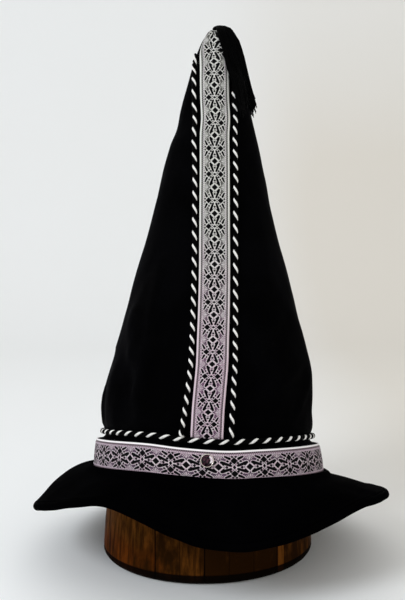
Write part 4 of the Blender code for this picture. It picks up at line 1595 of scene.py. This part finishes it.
class WIZARDHAT_OT_tassel(bpy.types.Operator):
    """Builds the tassel's loose threads and the wrapped head that they fall from"""

    bl_idname = "wizard_hat.tassel"
    bl_label = "Thread tassel"

    # How much the threads' lengths differ, how much shorter the outer ones and longer the front ones are
    length_spread = 0.0024
    outer_shorter = 0.0070
    front_longer = 0.0180
    # How many degrees a thread wanders, and how far the loosest tip stands out
    wander = 2.5
    splay = 0.0030
    # The head: its radius, its shift from where the threads start, how it is stretched, and its wrapped threads
    head_radius = 0.0060
    head_shift = -0.0012
    head_stretch = Vector((1.2, 1.0, 0.45))
    wraps = 17
    wrap_depth = 0.00018
    wrap_start = 0.0004

    def thread(self, chance, settings):
        """The points of one thread, in the part's frame."""
        share = chance.random()
        layer = chance.random()
        head = HEAD_AZIMUTHS[0] + (HEAD_AZIMUTHS[1] - HEAD_AZIMUTHS[0]) * share
        tip = TIP_AZIMUTHS[0] + (TIP_AZIMUTHS[1] - TIP_AZIMUTHS[0]) * (share + chance.uniform(-0.03, 0.03))
        top = THREAD_LINE[0][1]
        shorter = chance.gauss(0.0, self.length_spread) + self.outer_shorter * layer
        shorter -= self.front_longer * (1 - ease(share, 0.0, 0.34))
        wander = chance.uniform(-self.wander, self.wander)
        splay = chance.random() ** 3 * self.splay
        cord_top, cord_reach, _ = RIGHT_CORD[-1]
        start = Vector(TASSEL_HEAD)
        start.x += chance.uniform(-0.0018, 0.0022)
        start.y += chance.uniform(-0.0020, 0.0020)
        points = [seated(start)]
        for index, (turn, height) in enumerate(THREAD_LINE):
            down = index / (len(THREAD_LINE) - 1)
            azimuth = head + (tip - head) * turn + wander * math.sin(down * 5 + share * 20)
            height += shorter * (top - height) / (top - THREAD_LINE[-1][1])
            off = (azimuth - beside_ribbon(height, cord_reach)) / THREAD_CORD_REACH
            over = math.exp(-off * off) * (1 - ease(height, cord_top, cord_top + THREAD_CORD_FADE))
            out = smooth_value(THREAD_RISE, azimuth, 1) + THREAD_OVER_CORD * over
            body = settings.depth * layer * (0.55 + 0.45 * math.sin(math.pi * min(down * 1.15, 1.0)))
            out += settings.thread_radius + body + splay * down**3
            out += TASSEL_FLARE * layer * ease(down, 0.45, 1.0)
            points.append(seated(crown_point(azimuth, walk_to(height), out)))
        return points

    def execute(self, context):
        settings = context.scene.wizard_tassel
        chance = random.Random(settings.seed)
        curve = new_curve("tassel_threads")
        curve.bevel_depth = settings.thread_radius
        curve.bevel_resolution = 0
        curve.use_fill_caps = True
        for _ in range(settings.threads):
            add_line(curve, self.thread(chance, settings))
        mesh = evaluated_mesh(linked("tassel_threads", curve))
        mesh.materials.clear()
        new_piece("tassel_threads", mesh, [THREADS["tassel"]], ["tassel"])
        bm = bmesh.new()
        bmesh.ops.create_uvsphere(bm, u_segments=48, v_segments=24, radius=self.head_radius)
        centre = Vector(TASSEL_HEAD) + Vector((self.head_shift, 0.0, 0.0))
        for vert in bm.verts:
            spot = vert.co.copy()
            if math.hypot(spot.x, spot.y) > self.wrap_start:
                ridge = math.cos(math.atan2(spot.y, spot.x) * self.wraps) * self.wrap_depth
                spot += level_way(spot) * ridge
            vert.co = seated(spot * self.head_stretch + centre)
        new_piece("tassel_head", finished_mesh("tassel_head", bm), [THREADS["tassel"]])
        return {"FINISHED"}


class WIZARDHAT_OT_block(bpy.types.Operator):
    """Builds the oval block of glued boards, with its joints and the groove above its foot"""

    bl_idname = "wizard_hat.block"
    bl_label = "Hat block"

    columns = 180
    boards = range(-6, 7)
    # Half width of a joint, the radius that it is placed on, and where it would meet the oval too flatly
    joint_half = 0.00045
    joint_radius = 0.0888
    joint_limit = 0.985
    # Angle that the other columns keep from a joint, and the radius that the joints start at on the top
    joint_clear = 0.009
    joint_start = 0.03
    # Mesh rows between two rows of the profile that start above a height
    side_rows = 5
    side_start = 0.02

    def footprint(self, azimuth):
        """How far the oval's radius is stretched at an azimuth."""
        off = azimuth - BLOCK_TURN
        return 1 / math.hypot(math.cos(off) / BLOCK_LONG, math.sin(off) / BLOCK_SHORT)

    def around(self, board_width):
        """The azimuths of the mesh columns, and how deep the joint is at each."""
        joints = []
        for board in self.boards:
            middle = BOARD_START + board * board_width
            deepest = 1.0 if board in OPEN_JOINTS else TIGHT_JOINT
            for edge, depth in ((-self.joint_half, 0.0), (0.0, deepest), (self.joint_half, 0.0)):
                share = (middle + edge) / self.joint_radius
                if abs(share) < self.joint_limit:
                    for azimuth in (math.asin(share), math.pi - math.asin(share)):
                        joints.append((azimuth % math.tau, depth))

        def clear(value):
            """Whether no joint lies near."""
            return all(
                abs((value - joint + math.pi) % math.tau - math.pi) > self.joint_clear for joint, _ in joints)

        values = [math.tau * column / self.columns for column in range(self.columns)]
        return sorted([(value, 0.0) for value in values if clear(value)] + joints)

    def profile(self):
        """Radius and height of each mesh row, from the floor up."""
        rows = [(0.0, BLOCK_TOP), *BLOCK_PROFILE, (0.0, 0.0)]
        profile = []
        for (radius, height), (next_radius, next_height) in zip(rows, rows[1:]):
            pieces = self.side_rows if height > self.side_start else 1
            for piece in range(pieces):
                share = piece / pieces
                profile.append((radius + (next_radius - radius) * share, height + (next_height - height) * share))
        profile.append(rows[-1])
        profile.reverse()
        return profile

    def execute(self, context):
        settings = context.scene.wizard_block
        around = self.around(settings.board_width)
        profile = self.profile()

        def place(column, row):
            azimuth, joint = around[column % len(around)]
            radius, height = profile[row]
            radius *= self.footprint(azimuth)
            if radius > self.joint_start:
                radius -= joint * settings.joint_depth
            return Vector((radius * math.sin(azimuth), -radius * math.cos(azimuth), height))

        mesh = wrapped_mesh("laminated_block", len(around), len(profile) - 1, place)
        new_piece("laminated_block", mesh, [wood_material(settings)], ["hat_block"])
        return {"FINISHED"}


class WIZARDHAT_OT_stage(bpy.types.Operator):
    """Builds the pale floor and backdrop, the studio lights and the camera"""

    bl_idname = "wizard_hat.stage"
    bl_label = "Studio"

    half_width = 3.0
    front = -3.0
    back = 1.3
    bend = 0.9
    bend_steps = 12
    top = 3.5
    # How far the floor lies under the block
    sunk = 0.0002

    def light(self, name, place, aim, size, power, colour):
        data = bpy.data.lights.new(name, "AREA")
        data.shape = "DISK"
        data.size = size
        data.energy = power
        data.color = colour
        obj = linked(name, data)
        obj.location = place
        obj.rotation_euler = (Vector(aim) - Vector(place)).to_track_quat("-Z", "Y").to_euler()

    def paper(self, pale):
        """Pale mottled paper, with painted shade that makes it darker and warmer towards the right, less so high
        on the backdrop, and painted light that makes the floor paler towards the front.
        """
        material, graph, shader, spot = new_material("paper_backdrop")
        step = graph.step
        x, y, z = graph.parts(spot)
        # Painted light makes the floor paler towards the front, and painted shade makes the paper darker and
        # warmer towards the right.
        near = tuple(min(value * 1.02, 0.94) for value in pale)
        warm = (pale[0] * 0.86, pale[1] * 0.81, pale[2] * 0.74)
        right = step(x, -0.05, 0.40) * step(z, 0.35, 1.05, 1.0, 0.40)
        tone = graph.mix(graph.noise(spot, 2.2, 2.0) * 0.14 + right, pale, warm)
        graph.fill(shader, {
            "Base Color": graph.mix(step(y, -0.45, 0.30, 1.0, 0.0), tone, near),
            "Roughness": 0.75,
            "Specular IOR Level": 0.2,
        })
        return material

    def execute(self, context):
        stage = context.scene.wizard_stage
        scene = context.scene
        outline = [(self.front, 0.0), (self.back, 0.0)]
        for step in range(1, self.bend_steps + 1):
            angle = math.pi / 2 * step / self.bend_steps
            outline.append((self.back + self.bend * math.sin(angle), self.bend * (1 - math.cos(angle))))
        outline.append((self.back + self.bend, self.top))

        def place(column, row):
            depth, height = outline[row]
            return Vector((-self.half_width + 2 * self.half_width * column, depth, height - self.sunk))

        backdrop = linked("backdrop", wrapped_mesh("backdrop", 1, len(outline) - 1, place))
        backdrop.data.materials.append(self.paper(tuple(stage.floor)))
        self.light("key", (-1.15, -1.30, 1.30), (0.0, 0.0, 0.15), 0.8, stage.key_power, (0.90, 0.95, 1.0))
        self.light("fill", (1.1, -1.4, 0.8), (0.0, 0.0, 0.2), 1.0, stage.fill_power, (1.0, 0.90, 0.74))
        world = bpy.data.worlds.new("studio")
        world.use_nodes = True
        sky = world.node_tree.nodes["Background"]
        sky.inputs[0].default_value = (0.985, 0.985, 0.965, 1.0)
        sky.inputs[1].default_value = stage.sky
        scene.world = world
        data = bpy.data.cameras.new("camera")
        data.sensor_width = 36.0
        data.lens = CAMERA_LENS
        camera = linked("camera", data)
        camera.location = CAMERA_PLACE
        camera.rotation_euler = (math.pi / 2 - CAMERA_PITCH, 0.0, 0.0)
        scene.camera = camera
        scene.view_settings.view_transform = "Standard"
        scene.view_settings.look = "None"
        return {"FINISHED"}


class WIZARDHAT_PT_panel(bpy.types.Panel):
    """Lists the settings and the operators"""

    bl_label = "Wizard hat"
    bl_idname = "WIZARDHAT_PT_panel"
    bl_space_type = "VIEW_3D"
    bl_region_type = "UI"
    bl_category = "Wizard hat"

    def draw(self, context):
        for operator, holder in STEPS:
            box = self.layout.box()
            settings = getattr(context.scene, holder)
            for name in settings.__annotations__:
                box.prop(settings, name)
            box.operator(f"wizard_hat.{operator}")


STEPS = (
    ("crown", "wizard_hat"),
    ("brim", "wizard_hat"),
    ("ribbons", "wizard_trims"),
    ("cords", "wizard_trims"),
    ("stone", "wizard_trims"),
    ("tassel", "wizard_tassel"),
    ("block", "wizard_block"),
    ("stage", "wizard_stage"),
)
SETTINGS = {
    "wizard_hat": HatSettings,
    "wizard_trims": TrimSettings,
    "wizard_tassel": TasselSettings,
    "wizard_block": BlockSettings,
    "wizard_stage": StageSettings,
}
CLASSES = (
    *SETTINGS.values(),
    WIZARDHAT_OT_crown,
    WIZARDHAT_OT_brim,
    WIZARDHAT_OT_ribbons,
    WIZARDHAT_OT_cords,
    WIZARDHAT_OT_stone,
    WIZARDHAT_OT_tassel,
    WIZARDHAT_OT_block,
    WIZARDHAT_OT_stage,
    WIZARDHAT_PT_panel,
)
VELVET = {}
THREADS = {}


def register():
    for cls in CLASSES:
        bpy.utils.register_class(cls)
    for name, cls in SETTINGS.items():
        setattr(bpy.types.Scene, name, bpy.props.PointerProperty(type=cls))


def unregister():
    for name in SETTINGS:
        delattr(bpy.types.Scene, name)
    for cls in reversed(CLASSES):
        bpy.utils.unregister_class(cls)


def make_shared_materials():
    """Materials that more than one piece wears, or more than one operator needs."""
    hat = bpy.context.scene.wizard_hat
    trims = bpy.context.scene.wizard_trims
    velvet = tuple(hat.velvet)
    VELVET["crown"] = velvet_material("crown_velvet", velvet, hat.velvet_sheen, 1.6, 0.005)
    VELVET["brim"] = velvet_material("brim_velvet", velvet, 0.0, 1.0, 0.0005)
    white = tuple(trims.white_thread)
    black = tuple(trims.black_thread)
    # Name, crest colour, groove colour, which is painted shade, and roughness, sheen and gloss
    for name, colour, shade, finish in (
        ("white", white, shaded(white, 0.78), (0.55, 0.1, 0.3)),
        ("black", black, shaded(black, 0.4), (0.6, 0.002, 0.015)),
        ("tassel", (0.0012, 0.0012, 0.0013), (0.0004, 0.0004, 0.0005), (0.5, 0.002, 0.015)),
        ("stitch", (0.62, 0.54, 0.62), (0.22, 0.18, 0.22), (0.5, 0.05, 0.3)),
    ):
        THREADS[name] = thread_material(f"{name}_thread", colour, shade, *finish)


def main():
    register()
    make_shared_materials()
    for operator, _ in STEPS:
        getattr(bpy.ops.wizard_hat, operator)()


if __name__ == "__main__":
    main()
